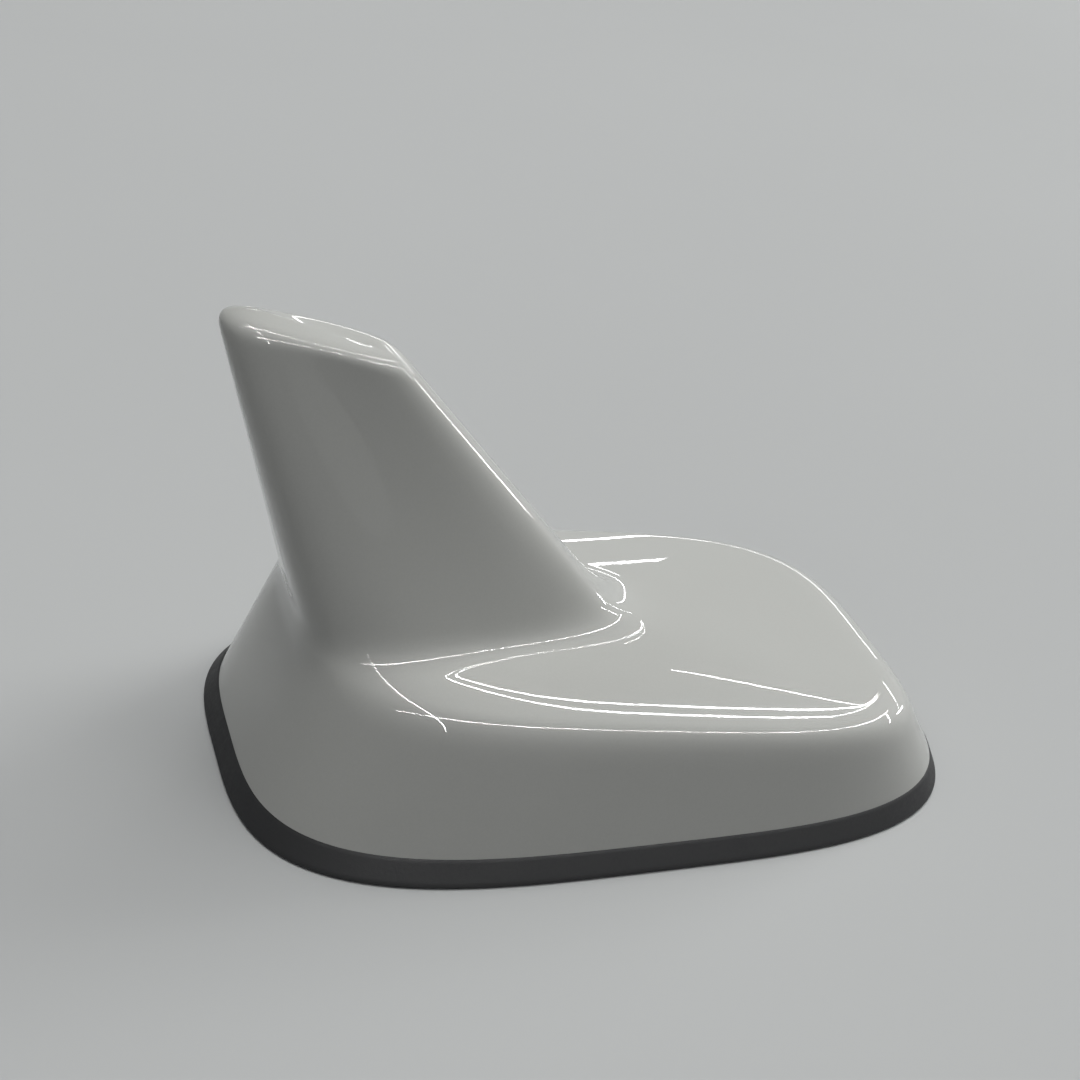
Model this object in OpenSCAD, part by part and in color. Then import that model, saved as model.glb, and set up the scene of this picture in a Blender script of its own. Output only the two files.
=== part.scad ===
// Car roof antenna in the form of a swept fin on a broad, shouldered base.
// X runs towards the front of the car, Z up. The roof skin's outer face is the plane z = 0,
// and the origin is where the axis of the mounting stud crosses it. Millimetres.

/* [Cover outline] */
// Length of the cover at its foot
cover_l = 118; // [100:1:150]
// Width of the cover at its foot
cover_w = 64; // [56:1:84]
// Squareness of the foot outline, where 2 is an ellipse
foot_n = 3.4; // [2.4:0.1:4.5]
// How far the shoulder stands in from the foot at the nose
nose_in = 9.5; // [5:0.5:14]
// How far the shoulder stands in from the foot at each side
side_in = 5; // [3:0.5:9]
// How far the shoulder stands in from the foot at the rear
tail_in = 6; // [3:0.5:9]
// Height of the shoulder above the roof at the nose
nose_z = 16.5; // [15:0.5:21]
// Height of the shoulder above the roof at the rear
tail_z = 25.5; // [22:0.5:30]
// How much wider the shoulder is in front than behind, as a share
shoulder_flare = 0.07; // [0:0.01:0.25]

/* [Fin] */
// Length of the fin where it leaves the platform
fin_root_l = 52; // [46:1:60]
// Thickness of the fin where it leaves the platform
fin_root_w = 26; // [20:0.5:30]
// How much thinner the fin's root is in front than in the middle, as a share
fin_taper = 0.45; // [0.3:0.01:0.5]
// Squareness of the fin's leading edge at its root, where 2 is an ellipse
fin_n = 4.2; // [3.4:0.1:4.5]
// Height of the fin's root line above the shoulder
root_rise = 4.5; // [2:0.5:6]
// Length of the fin's crown
crown_l = 24.5; // [20:0.5:30]
// Thickness of the fin at its crown
crown_w = 8.8; // [8:0.2:14]
// Height of the crown above the roof at its front end
crown_z = 69.5; // [64:0.5:80]
// How much higher the crown is at its rear end
crown_lift = 5; // [0:0.5:6]
// How far the crown reaches back beyond the foot
tip_overhang = 8.5; // [2:0.5:12]

/* [Cover roundings] */
// Reach of the shoulder rounding at the nose
shoulder_front_r = 7; // [4:0.5:9]
// Reach of the shoulder rounding at each side
shoulder_side_r = 6; // [4:0.5:7]
// Reach of the shoulder rounding at the rear
shoulder_rear_r = 4.5; // [4:0.5:7]
// Reach of the fillet at the fin's root, in front
root_front_r = 12.5; // [6:0.5:14]
// Reach of the fillet at the fin's root, at each side
root_side_r = 5; // [3:0.5:6]
// Reach of the fillet at the fin's root, behind
root_rear_r = 6; // [3:0.5:8]
// Reach of the crown's rounding in front
crown_front_r = 8; // [4:0.5:10]
// Reach of the crown's rounding at each side
crown_side_r = 2.6; // [2.4:0.1:3.4]
// Reach of the crown's rounding behind
crown_rear_r = 5.5; // [3:0.5:7]

/* [Cover wall] */
// Wall of the moulded cover
wall = 2.2; // [1.8:0.1:2.6]
// Height of the thickened rim above the foot
rim_h = 3; // [2:0.5:4]
// Depth of the tongue under the foot, which sits in the base plate's groove
tongue_h = 0.8; // [0.5:0.1:1.2]
// Thickness of the tongue
tongue_t = 1.5; // [1:0.1:1.8]
// Thickness of the stiffening ribs
rib_t = 1.2; // [0.8:0.1:1.6]
// Depth of the stiffening ribs below the platform
rib_h = 2; // [1:0.25:2.5]
// Outer diameter of the screw bosses
boss_d = 7; // [6.4:0.1:8]
// Diameter of the screws that hold the cover
screw_d = 2.9; // [2.2:0.1:3.2]

/* [Gasket] */
// Height of the rubber gasket, roof to cover foot
gasket_h = 4; // [3.6:0.1:5]
// Thickness of the gasket's pad under the base plate
pad_t = 1.6; // [1.2:0.1:1.8]
// How far the gasket's foot stands out from the cover
gasket_out = 2; // [1.5:0.1:3]
// Width of the gasket's lip on which the cover sits
lip_w = 0.85; // [0.7:0.05:1]
// Depth of the grooves between the sealing lands
land_groove = 0.5; // [0.3:0.05:0.7]

/* [Base plate] */
// Width of the base plate's edge land outside the seal groove
edge_land = 0.9; // [0.7:0.1:1.2]
// Depth of the seal groove
groove_h = 1.6; // [1.4:0.1:1.7]
// Length of the neck that passes through the roof
neck_l = 35; // [33:0.5:38]
// Width of the neck that passes through the roof
neck_w = 17; // [16.5:0.5:20]
// How far the neck reaches below the roof's outer face
neck_drop = 3.2; // [2.8:0.1:3.3]
// How far the neck starts behind the stud axis
neck_back = 8; // [7:0.5:9]

/* [Roof and fixing] */
// Thickness of the roof sheet that is clamped
roof_t = 1; // [0.7:0.1:1.2]
// Diameter of the mounting stud
stud_d = 8; // [6:1:8]
// Length of the stud below the roof's outer face
stud_l = 18; // [16:0.5:24]
// Height of the claws on the clamping plate
claw_h = 2.5; // [2.4:0.1:3.5]
// Sheet thickness of the clamping plate
claw_t = 1.5; // [1.2:0.1:2]
// Length of the clamping plate
claw_l = 50; // [48:1:56]
// Width of the clamping plate
claw_w = 30; // [28:1:36]
// Width of the nut across its flats
nut_af = 13; // [12:0.5:13.5]
// Height of the nut with its flange
nut_h = 7; // [6:0.5:8]
// Diameter of the nut's flange
nut_flange_d = 17; // [16:0.5:17.5]

/* [Boards] */
// Height of the posts that carry the main board
post_h = 3; // [2.5:0.25:3.5]
// Thickness of the main board
board_t = 1.6; // [1:0.2:1.6]
// Thickness of the upright board in the fin
fin_board_t = 1.2; // [0.8:0.2:1.6]
// Diameter of the screws that hold the main board
board_screw_d = 2.5; // [2:0.1:3]
// Gap from the side of the ceramic patch to the cover's foot
patch_in = 21; // [20:0.5:24]
// Gap from the front of the ceramic patch to the cover's nose
patch_nose = 14; // [13:0.5:18]
// Height of the ceramic patch
patch_h = 4; // [3:0.25:4]

/* [Sockets] */
// Side of the socket block along the car
block_l = 15; // [14.5:0.5:16]
// Side of the socket block across the car
block_w = 14; // [13.5:0.5:14.5]
// How far the socket block reaches below the roof's outer face
block_drop = 17; // [15:0.5:20]
// Spacing of the four coaxial ports
port_pitch = 6.6; // [6.2:0.1:6.8]
// Bore of a port
port_d = 5.2; // [5:0.1:5.4]
// Depth of a port
port_h = 10; // [8:0.5:11]
// Outer diameter of the tube in a port
tube_d = 3.6; // [3:0.1:3.8]
// Diameter of the pin in a port
pin_d = 0.8; // [0.6:0.1:1]

/* [Clearances] */
// Gap between parts that slide together
fit_gap = 0.15; // [0.1:0.05:0.3]
// Gap round parts that are held elsewhere
air_gap = 0.6; // [0.4:0.1:1]

/* [Hidden] */
$fn = 48;
eps = 0.01;

// Columns round the cover, and steps in each of its roundings
columns = 72;
steps = 4;

front_x = cover_l / 2;
rear_x = -cover_l / 2;
half_w = cover_w / 2;
foot_z = gasket_h;

// Squareness of the rings in front and behind
shoulder_n = [3.8, 3.5];
root_n = [fin_n, 3.2];
crown_n = [3.8, 2.4];
crown_flare = 0.1;

// A level ring is [front x, rear x, half width, n in front, n behind, taper, z in front, z behind]
foot = [front_x, rear_x, half_w, foot_n, foot_n, 0, foot_z, foot_z];
shoulder = [front_x - nose_in, rear_x + tail_in, half_w - side_in, shoulder_n[0], shoulder_n[1],
    -shoulder_flare, nose_z, tail_z];
root_rear_x = rear_x + tail_in;
root_front_x = root_rear_x + fin_root_l;
function platform_z(x) = lerp(nose_z, tail_z, (shoulder[0] - x) / (shoulder[0] - shoulder[1]));
root = [root_front_x, root_rear_x, fin_root_w / 2, root_n[0], root_n[1], fin_taper,
    platform_z(root_front_x) + root_rise, platform_z(root_rear_x) + root_rise];
crown_rear_x = rear_x - tip_overhang;
crown_front_x = crown_rear_x + crown_l;
crown = [crown_front_x, crown_rear_x, crown_w / 2, crown_n[0], crown_n[1], -crown_flare,
    crown_z, crown_z + crown_lift];
crown_rise = 0.4;
shoulder_r = [shoulder_front_r, shoulder_side_r, shoulder_rear_r];
root_r = [root_front_r, root_side_r, root_rear_r];
crown_r = [crown_front_r, crown_side_r, crown_rear_r];

function lerp(a, b, t) = a + (b - a) * t;
function unit(v) = v / norm(v);
function soft_min(a, b) = -0.8 * ln(exp(-a / 0.8) + exp(-b / 0.8));
function phi_of(i) = 360 * i / columns;

// A point on a smooth oval whose squareness changes from front to rear
function oval_pt(r, phi) =
    let (c = cos(phi), s = sin(phi), n = lerp(r[4], r[3], (1 + c) / 2))
    let (k = pow(pow(abs(c), n) + pow(abs(s), n), -1 / n))
    [(r[0] + r[1]) / 2 + (r[0] - r[1]) / 2 * k * c, r[2] * k * s * (1 - r[5] * k * c)];
function ring_pt(r, phi) =
    let (p = oval_pt(r, phi))
    [p.x, p.y, lerp(r[7], r[6], (p.x - r[1]) / (r[0] - r[1]))];
function inset(r, w, drop = 0) =
    [r[0] - w, r[1] + w, r[2] - w, r[3], r[4], r[5], r[6] - drop, r[7] - drop];
function foot_pt(phi, in, z) = let (p = oval_pt(inset(foot, in), phi)) [p.x, p.y, z];
module foot_outline(in) polygon([for (i = [0:columns - 1]) oval_pt(inset(foot, in), phi_of(i))]);

// A rounding at b between the straight lines to a and c, reaching d along each
function blend(a, b, c, d, steps) =
    let (ea = unit(a - b), ec = unit(c - b))
    [for (j = [0:steps])
        let (t = j / steps, u = 1 - t)
        b + d * ea * (pow(u, 4) + 2 * t * pow(u, 3)) + d * ec * (2 * pow(t, 3) * u + pow(t, 4))];
function reach(r, phi) =
    let (c = cos(phi))
    r[1] * (1 - c * c) + (c > 0 ? r[0] : r[2]) * c * c;

// The fin's rings stand in by less at the leading edge and by more at the trailing edge, because
// both edges lean back
lead_lean = atan2(root[0] - crown[0], crown[6] - root[6]);
trail_lean = atan2(root[1] - crown[1], crown[7] - root[7]);
function fin_inset(r, w) = [
    r[0] - w * (1 - sin(lead_lean)) / cos(lead_lean),
    r[1] + w * (1 + sin(trail_lean)) / cos(trail_lean),
    r[2] - w, r[3], r[4], r[5], r[6] - w, r[7] - w
];

// One line up the skin at the angle phi, foot to crown. The inner skin is the same line on rings
// that stand in by the wall, with tighter outer and wider inner roundings.
function meridian(phi, in, steps) =
    let (
        b = ring_pt(inset(shoulder, in, in), phi),
        low = ring_pt(inset(foot, in), phi),
        a = lerp(low, b, rim_lift(in) / (b.z - low.z)),
        top = fin_inset(crown, in),
        c = ring_pt(fin_inset(root, in), phi),
        d = ring_pt(top, phi),
        half = (top[0] - top[1]) / 2,
        mid = (top[0] + top[1]) / 2,
        x = mid + (d.x - mid) * (half - top[2]) / half,
        ridge = [x, 0, d.z + crown_rise],
        ease = 0.7 * in,
        rb = soft_min(reach(shoulder_r, phi) - ease, min(norm(a - b), norm(c - b)) / 2),
        rc = soft_min(reach(root_r, phi) + ease, min(norm(b - c), norm(d - c)) / 2),
        rd = soft_min(reach(crown_r, phi) - ease, min(norm(c - d) / 2, norm(ridge - d) * 0.98)),
        up = blend(c, d, ridge, max(rd, 0.1), steps)
    )
    concat(
        [a],
        blend(a, b, c, rb, steps),
        blend(b, c, d, rc, steps),
        [lerp(c + unit(d - c) * rc, up[0], 0.5)],
        up,
        [lerp(up[steps], ridge, 0.6)]
    );
function rim_lift(in) = in > 0 ? rim_h + 2 : 0;

// The foot's edge from outside in: gasket lip, base plate land, seal groove with the tongue in it
plate_in = lip_w + fit_gap;
groove_in = plate_in + edge_land;
tongue_in = groove_in + 2 * fit_gap;
rim_in = tongue_in + tongue_t;
groove_end = rim_in + 2 * fit_gap;
tongue_z = foot_z - tongue_h;
groove_z = foot_z - groove_h;
function rim_line(phi) = [
    foot_pt(phi, rim_in, foot_z + rim_h),
    foot_pt(phi, rim_in, tongue_z),
    foot_pt(phi, tongue_in, tongue_z),
    foot_pt(phi, tongue_in, foot_z)
];
function reversed(v) = [for (i = [len(v) - 1:-1:0]) v[i]];
function flat(v) = [for (part = v, item = part) item];

// Faces between neighbouring columns of n points each
function side_faces(n, closed) = flat([for (i = [0:columns - 1])
    let (a = i * n, b = ((i + 1) % columns) * n)
    flat([for (j = [0:closed ? n - 1 : n - 2])
        let (k = (j + 1) % n)
        [[a + j, a + k, b + k], [a + j, b + k, b + j]]])]);
// Strips across the open end of the columns, point j of each
function cap_faces(n, j) = flat([for (i = [0:columns / 2 - 1])
    let (a = i, b = i + 1, c = columns - 1 - i, d = (columns - i) % columns)
    i == 0 ? [[a * n + j, b * n + j, c * n + j]]
    : i == columns / 2 - 1 ? [[a * n + j, b * n + j, d * n + j]]
    : [[a * n + j, b * n + j, c * n + j], [a * n + j, c * n + j, d * n + j]]]);
function turned(faces) = [for (f = faces) [f[2], f[1], f[0]]];

module domed(lines) {
    n = len(lines[0]);
    polyhedron(
        points = flat(lines),
        faces = concat(side_faces(n, false), turned(cap_faces(n, n - 1)), cap_faces(n, 0))
    );
}
module ringed(lines) polyhedron(points = flat(lines), faces = side_faces(len(lines[0]), true));

// Screws through the base plate into the cover: angle round the foot and inset from it
seat = 0.3;
boss_in = boss_d / 2 + rim_in + seat;
nose_boss_in = boss_in + 5.5;
boss_rise = 1.5;
boss_z = foot_z + boss_rise;
side_boss_h = 7;
gusset_h = 4;
half_boss_list = [[46, nose_boss_in], [90, boss_in], [154, boss_in]];
boss_list = [for (side = [1, -1], b = half_boss_list) [side * b[0], b[1]]];
function boss_pt(b) = oval_pt(inset(foot, b[1]), b[0]);
// The nose bosses end in the platform, the others at the side wall
function boss_h(b) = b[1] == boss_in ? side_boss_h : platform_z(boss_pt(b).x) - 0.4 * wall - boss_z;
// A pan head's diameter and height, as shares of the screw's diameter
pan_d = 1.8;
pan_h = 0.55;
head_d = pan_d * screw_d;
head_h = pan_h * screw_d;
head_sunk = 0.1;
screw_l = 8;
thread_gap = 0.05;

// The platform's surface above the line x, as [y, z] from side to side
function platform_line(x) = [for (phi = [-66:12:66])
    let (a = ring_pt(shoulder, phi), b = ring_pt(root, phi), t = (x - a.x) / (b.x - a.x))
    if (t > 0.12 && t < 0.9) [lerp(a.y, b.y, t), lerp(a.z, b.z, t)]];
module platform_rib(x) {
    line = platform_line(x);
    translate([x - rib_t / 2, 0, 0]) rotate([90, 0, 90]) linear_extrude(rib_t)
        polygon(concat(
            [for (p = line) p - [0, wall / 2]],
            reversed([for (p = line) p - [0, wall + rib_h]])));
}
rib_xs = [for (share = [0.25, 0.82]) lerp(root[0], shoulder[0], share)];

// A drilled boss with a gusset that runs out to the side wall
module cover_boss(b) {
    p = boss_pt(b);
    gusset_end = oval_pt(inset(foot, rim_in - seat), b[0]);
    reach_out = norm(gusset_end - p);
    heading = atan2(gusset_end.y - p.y, gusset_end.x - p.x);
    translate([p.x, p.y, boss_z]) difference() {
        union() {
            cylinder(d = boss_d, h = boss_h(b));
            if (b[1] == boss_in) rotate(heading)
                translate([0, -rib_t / 2, foot_z + rim_h - boss_z]) cube([reach_out, rib_t, gusset_h]);
        }
        translate([0, 0, -eps]) cylinder(d = screw_d + 2 * thread_gap, h = side_boss_h - 0.8);
    }
}

module cover_shell() color("#b9b9b4") {
    skin = [for (i = [0:columns - 1]) let (phi = phi_of(i))
        concat(reversed(meridian(phi, wall, steps - 1)), rim_line(phi), meridian(phi, 0, steps))];
    domed(skin);
    for (b = boss_list) cover_boss(b);
    for (x = rib_xs) platform_rib(x);
}

// The neck of the base plate, which fills the roof's hole, and the gasket's opening round it
neck_ring = [neck_l - neck_back, -neck_back, neck_w / 2, 6, 6, 0, 0, 0];
function neck_pt(phi, out, z) = let (p = oval_pt(inset(neck_ring, -out), phi)) [p.x, p.y, z];
module neck_outline(out)
    polygon([for (i = [0:columns - 1]) oval_pt(inset(neck_ring, -out), phi_of(i))]);
// Sealing lands round the opening and near the rim, each with a groove of its own beside it
inner_land = 2.5;
outer_land = 5;
inner_groove = 2;
outer_groove = 2.5;
foot_edge = 0.3;
top_out = 0.25;
vent_x = rear_x + 33;
vent_y = 14.5;
vent_d = 2.4;

module roof_gasket() color("#26262a") {
    difference() {
        ringed([for (i = [0:columns - 1]) let (phi = phi_of(i)) [
            neck_pt(phi, fit_gap, 0),
            neck_pt(phi, inner_land, 0),
            neck_pt(phi, inner_land, land_groove),
            neck_pt(phi, inner_land + inner_groove, land_groove),
            neck_pt(phi, inner_land + inner_groove, 0),
            foot_pt(phi, outer_land + outer_groove, 0),
            foot_pt(phi, outer_land + outer_groove, land_groove),
            foot_pt(phi, outer_land, land_groove),
            foot_pt(phi, outer_land, 0),
            foot_pt(phi, foot_edge - gasket_out, 0),
            foot_pt(phi, -gasket_out, foot_edge),
            foot_pt(phi, foot_edge / 2 - gasket_out, 3 * foot_edge),
            foot_pt(phi, -top_out, foot_z - foot_edge),
            foot_pt(phi, 0, foot_z),
            foot_pt(phi, lip_w, foot_z),
            foot_pt(phi, lip_w, pad_t),
            neck_pt(phi, fit_gap, pad_t)
        ]]);
        translate([vent_x, vent_y, -eps]) cylinder(d = vent_d + 2, h = pad_t + 1);
    }
}
// The base plate with its neck, bosses, posts and pockets
stud_head_h = 3.2;
clip_w = 6;
clip_t = 0.4;
clip_depth = 0.9;
clip_x = -1;
post_d = 6;
base_rib_y = 9;
base_rib_ends = [rear_x + 14, front_x - 13];
board_in = 7;
board_z = foot_z + post_h;
board_top = board_z + board_t;
board_ring = [front_x - board_in - 2, rear_x + board_in + 1, half_w - board_in, foot_n, foot_n, 0, 0, 0];
// Places of the board's screws as shares of the cover's length and width
board_screw_shares = [[0.2, 0.3], [-0.305, 0.235]];
board_screws_at = [for (side = [1, -1], p = board_screw_shares) [p.x * cover_l, side * p.y * cover_w]];
block_x = neck_l - neck_back - 1.5 - block_l / 2;
collar_out = 1.5;
collar = [block_l + 2 * collar_out, block_w + 2 * collar_out];
corner_r = 1;
base_rib_spans = [
    [base_rib_ends[0], -nut_af],
    [block_x + collar.x / 2 + 2, base_rib_ends[1]]
];

// Longer than any wall that a hole goes through
through = 12;
board_screw_hole = post_h + foot_z - pad_t - 1;

module rounded(l, w, r) {
    square([l - 2 * r, w], center = true);
    square([l, w - 2 * r], center = true);
    for (x = [1, -1], y = [1, -1]) translate([x * (l / 2 - r), y * (w / 2 - r)]) circle(r);
}

module base_plate() color("#9fa2a4") difference() {
    union() {
        translate([0, 0, pad_t]) linear_extrude(foot_z - pad_t) foot_outline(plate_in);
        translate([0, 0, -neck_drop]) linear_extrude(neck_drop + pad_t + eps) neck_outline(0);
        for (p = board_screws_at) translate([p.x, p.y, foot_z]) cylinder(d = post_d, h = post_h);
        for (b = boss_list) let (p = boss_pt(b)) translate([p.x, p.y, foot_z])
            cylinder(d = boss_d - 0.6, h = boss_rise);
        for (y = [base_rib_y, -base_rib_y], span = base_rib_spans)
            translate([span[0], y - rib_t / 2, foot_z]) cube([span[1] - span[0], rib_t, boss_rise]);
        for (x = [base_rib_ends[0], base_rib_spans[0][1], base_rib_ends[1]])
            translate([x - rib_t / 2, -base_rib_y, foot_z]) cube([rib_t, 2 * base_rib_y, boss_rise]);
    }
    translate([0, 0, groove_z]) linear_extrude(groove_h + 1) difference() {
        foot_outline(groove_in);
        foot_outline(groove_end);
    }
    for (b = boss_list) let (p = boss_pt(b)) translate([p.x, p.y, pad_t - eps]) {
        cylinder(d = screw_d + 2 * fit_gap, h = through);
        cylinder(d = head_d + 4 * fit_gap, h = head_h + head_sunk + eps);
    }
    for (p = board_screws_at) translate([p.x, p.y, board_z - board_screw_hole])
        cylinder(d = board_screw_d + 2 * thread_gap, h = through);
    translate([0, 0, -through]) cylinder(d = stud_d + 2 * thread_gap, h = 2 * through);
    translate([0, 0, foot_z - stud_head_h])
        cylinder(d = (nut_af + 2 * fit_gap) / cos(30), h = through, $fn = 6);
    translate([block_x, 0, -through]) linear_extrude(2 * through)
        rounded(block_l + 2 * fit_gap, block_w + 2 * fit_gap, corner_r);
    for (side = [0, 1]) mirror([0, side, 0])
        translate([clip_x - clip_w / 2 - fit_gap, neck_w / 2 - clip_depth, pad_t - through])
            cube([clip_w + 2 * fit_gap, neck_w, through]);
    translate([vent_x, vent_y, 0]) cylinder(d = vent_d, h = through);
}

module cover_seal() color("#3b3f45") translate([0, 0, groove_z]) linear_extrude(groove_h - tongue_h)
    difference() {
        foot_outline(groove_in + fit_gap / 2);
        foot_outline(groove_end - fit_gap / 2);
    }

// A pan head screw that points up from z = 0 under its head, with a six-lobe recess
module pan_screw(d, l) {
    edge_h = 0.35 * d;
    tip_l = d / 2;
    recess_h = 0.35 * d;
    difference() {
        union() {
            translate([0, 0, -pan_h * d]) cylinder(d1 = 1.5 * d, d2 = pan_d * d, h = pan_h * d - edge_h);
            translate([0, 0, -edge_h]) cylinder(d = pan_d * d, h = edge_h);
            cylinder(d = d, h = l - tip_l);
            translate([0, 0, l - tip_l]) cylinder(d1 = d, d2 = 0.4 * d, h = tip_l);
        }
        translate([0, 0, -pan_h * d - eps]) {
            cylinder(d = 0.6 * d, h = recess_h);
            for (a = [0:60:300]) rotate(a) translate([0.33 * d, 0, 0]) cylinder(d = 0.18 * d, h = recess_h);
        }
    }
}
module cover_screws() color("#8f8f92") for (b = boss_list) let (p = boss_pt(b))
    translate([p.x, p.y, pad_t + head_h + head_sunk]) pan_screw(screw_d, screw_l);

// Main board with notches round the cover's bosses
module main_board() color("#1f6b45") translate([0, 0, board_z]) linear_extrude(board_t) difference() {
    polygon([for (i = [0:columns - 1]) oval_pt(board_ring, phi_of(i))]);
    for (b = boss_list) let (p = boss_pt(b)) translate(p) circle(d = boss_d + 2 * air_gap);
    for (p = board_screws_at) translate(p) circle(d = board_screw_d + 2 * fit_gap);
    for (p = port_spots) translate(p) circle(d = pin_d + 2 * fit_gap);
    translate([patch_x, 0]) circle(d = feed_d + 2 * fit_gap);
    for (x = finger_xs) translate([x, 0])
        square([finger_l + 2 * fit_gap, fin_board_t + 2 * fit_gap], center = true);
}
module board_screws() color("#a8a8ac") for (p = board_screws_at)
    translate([p.x, p.y, board_top]) mirror([0, 0, 1]) pan_screw(board_screw_d, board_t + post_h - 1);

// Ceramic patch for satellite signals, its silvered face and its feed pin
patch_rear = block_x + port_pitch / 2 + pin_d + 1;
patch_l = front_x - patch_nose - patch_rear;
patch_w = cover_w - 2 * patch_in;
patch_x = patch_rear + patch_l / 2;
feed_d = 1;
feed_tail = 0.6;
silver_t = 0.25;
silver_edge = 2;
trim_s = 3;
patch_top = board_top + patch_h;
module gnss_patch() color("#d8cfb8") translate([patch_x, 0, board_top]) difference() {
    linear_extrude(patch_h) rounded(patch_l, patch_w, corner_r);
    translate([0, 0, -eps]) cylinder(d = feed_d + 2 * thread_gap, h = through);
}
module gnss_electrode() color("#c9ccd0") translate([patch_x, 0, patch_top]) linear_extrude(silver_t)
    difference() {
        square([patch_l, patch_w] - 2 * [silver_edge, silver_edge], center = true);
        circle(d = feed_d + 2 * thread_gap);
        for (side = [1, -1])
            translate(side * ([patch_l, -patch_w] / 2 - [silver_edge, -silver_edge]))
                rotate(45) square(trim_s, center = true);
    }
module gnss_pin() color("#d9d9dc") translate([patch_x, 0, board_z - feed_tail]) {
    pin_l = feed_tail + patch_top + silver_t - board_z;
    cylinder(d = feed_d, h = pin_l + eps);
    translate([0, 0, pin_l]) cylinder(d1 = 2.4, d2 = 1.4, h = 0.35);
}

// Folded can over the amplifier, open below, with round vents
can_l = 15;
can_w = 20;
can_h = 3.2;
can_t = 0.3;
can_x = block_x - collar.x / 2 - 1.5 - can_l / 2;
can_vent_d = 1.6;
can_notch = 3;
module shield_can() color("#c3c6ca") translate([can_x, 0, board_top]) difference() {
    linear_extrude(can_h) rounded(can_l, can_w, 0.8);
    translate([0, 0, -eps]) linear_extrude(can_h - can_t)
        square([can_l - 2 * can_t, can_w - 2 * can_t], center = true);
    for (x = [-4.5:3:4.5], y = [-6:4:6]) translate([x, y, 0]) cylinder(d = can_vent_d, h = through, $fn = 24);
    for (x = [-1, 1], y = [-1, 1]) translate([x * can_l / 2, y * can_w / 2, -eps])
        cube([can_notch, can_notch, can_h], center = true);
}

// Chips, coils and capacitors on the main board: [x, y, length, width, height]
chip_list = [
    [-19, 12.5, 7, 7, 1], [-29, 7, 5, 5, 0.9], [-19, -12, 6, 5, 1.4], [-29, -8, 4, 4, 1.8],
    [-11, -14, 3.2, 1.6, 0.8], [-11, 14, 3.2, 1.6, 0.8], [-24, -4, 2, 1.2, 0.7], [-24, 4, 2, 1.2, 0.7],
    [can_x, 3, 4, 4, 0.9], [can_x, -4, 3, 3, 0.8],
    [block_x - 4, -17, 3.2, 2.5, 1.6], [block_x - 4, 17, 3.2, 2.5, 1.6]
];
module board_chips() color("#2a2b2f") for (c = chip_list) translate([c[0], c[1], board_top])
    linear_extrude(c[4]) square([c[2], c[3]], center = true);

// Upright board inside the fin, plugged into the main board by two fingers
finger_l = 4;
finger_tail = 0.4;
edge_gap = 4.8;
holder_z = crown_z - 12;
neck_z = crown_z - 34;
function lead_x(z) = lerp(root[0], crown[0], (z - root[6]) / (crown[6] - root[6]));
function trail_x(z) = lerp(root[1], crown[1], (z - root[7]) / (crown[7] - root[7]));
function lead_z(x) = lerp(root[6], crown[6], (root[0] - x) / (root[0] - crown[0]));
fin_base = [root_rear_x + 12, min(root_front_x - 8, can_x - can_l / 2 - 5)];
finger_xs = [fin_base[0] + 7, fin_base[1] - 7];
coil_z = crown_z - 29;
coil_h = 12;
coil_r = 3;
coil_x = trail_x(coil_z + coil_h / 2) + edge_gap + coil_r + 5.5;
wire_d = 0.8;
coil_gap = 1.5;
module fin_board() color("#1d5f40") {
    rotate([90, 0, 0]) translate([0, 0, -fin_board_t / 2]) linear_extrude(fin_board_t) difference() {
        polygon([
            [fin_base[0], board_top], [fin_base[1], board_top],
            [fin_base[1], lead_z(fin_base[1] + edge_gap)],
            [lead_x(holder_z) - edge_gap, holder_z], [trail_x(holder_z) + edge_gap, holder_z],
            [trail_x(neck_z) + edge_gap, neck_z], [fin_base[0], tail_z]
        ]);
        translate([coil_x, coil_z + coil_h / 2])
            square([2 * (coil_r + coil_gap), coil_h + 2 * coil_gap], center = true);
    }
    for (x = finger_xs) translate([x - finger_l / 2, -fin_board_t / 2, board_z - finger_tail])
        cube([finger_l, fin_board_t, board_t + finger_tail + eps]);
}

// Wire coil in the board's window, with straight ends that stand on the window's edges
coil_turns = 8;
coil_sides = 6;
coil_steps = 14;
coil_end = 0.6;
module loading_coil() color("#b4693a") {
    n = coil_turns * coil_steps;
    rings = [for (i = [0:n])
        let (a = 360 * i / coil_steps, z = lerp(coil_z + coil_end, coil_z + coil_h - coil_end, i / n))
        [for (j = [0:coil_sides - 1]) let (b = 360 * j / coil_sides, r = coil_r + wire_d / 2 * cos(b))
            [coil_x + r * cos(a), r * sin(a), z + wire_d / 2 * sin(b)]]];
    polyhedron(points = flat(rings), faces = concat(
        flat([for (i = [0:n - 1]) flat([for (j = [0:coil_sides - 1])
            let (a = i * coil_sides + j, b = i * coil_sides + (j + 1) % coil_sides)
            [[a, b + coil_sides, a + coil_sides], [a, b, b + coil_sides]]])]),
        [[for (j = [coil_sides - 1:-1:0]) j]],
        [[for (j = [0:coil_sides - 1]) n * coil_sides + j]]
    ));
    for (z = [coil_z - coil_gap, coil_z + coil_h - coil_end]) translate([coil_x + coil_r, 0, z])
        cylinder(d = wire_d, h = coil_gap + coil_end, $fn = 16);
}

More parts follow.
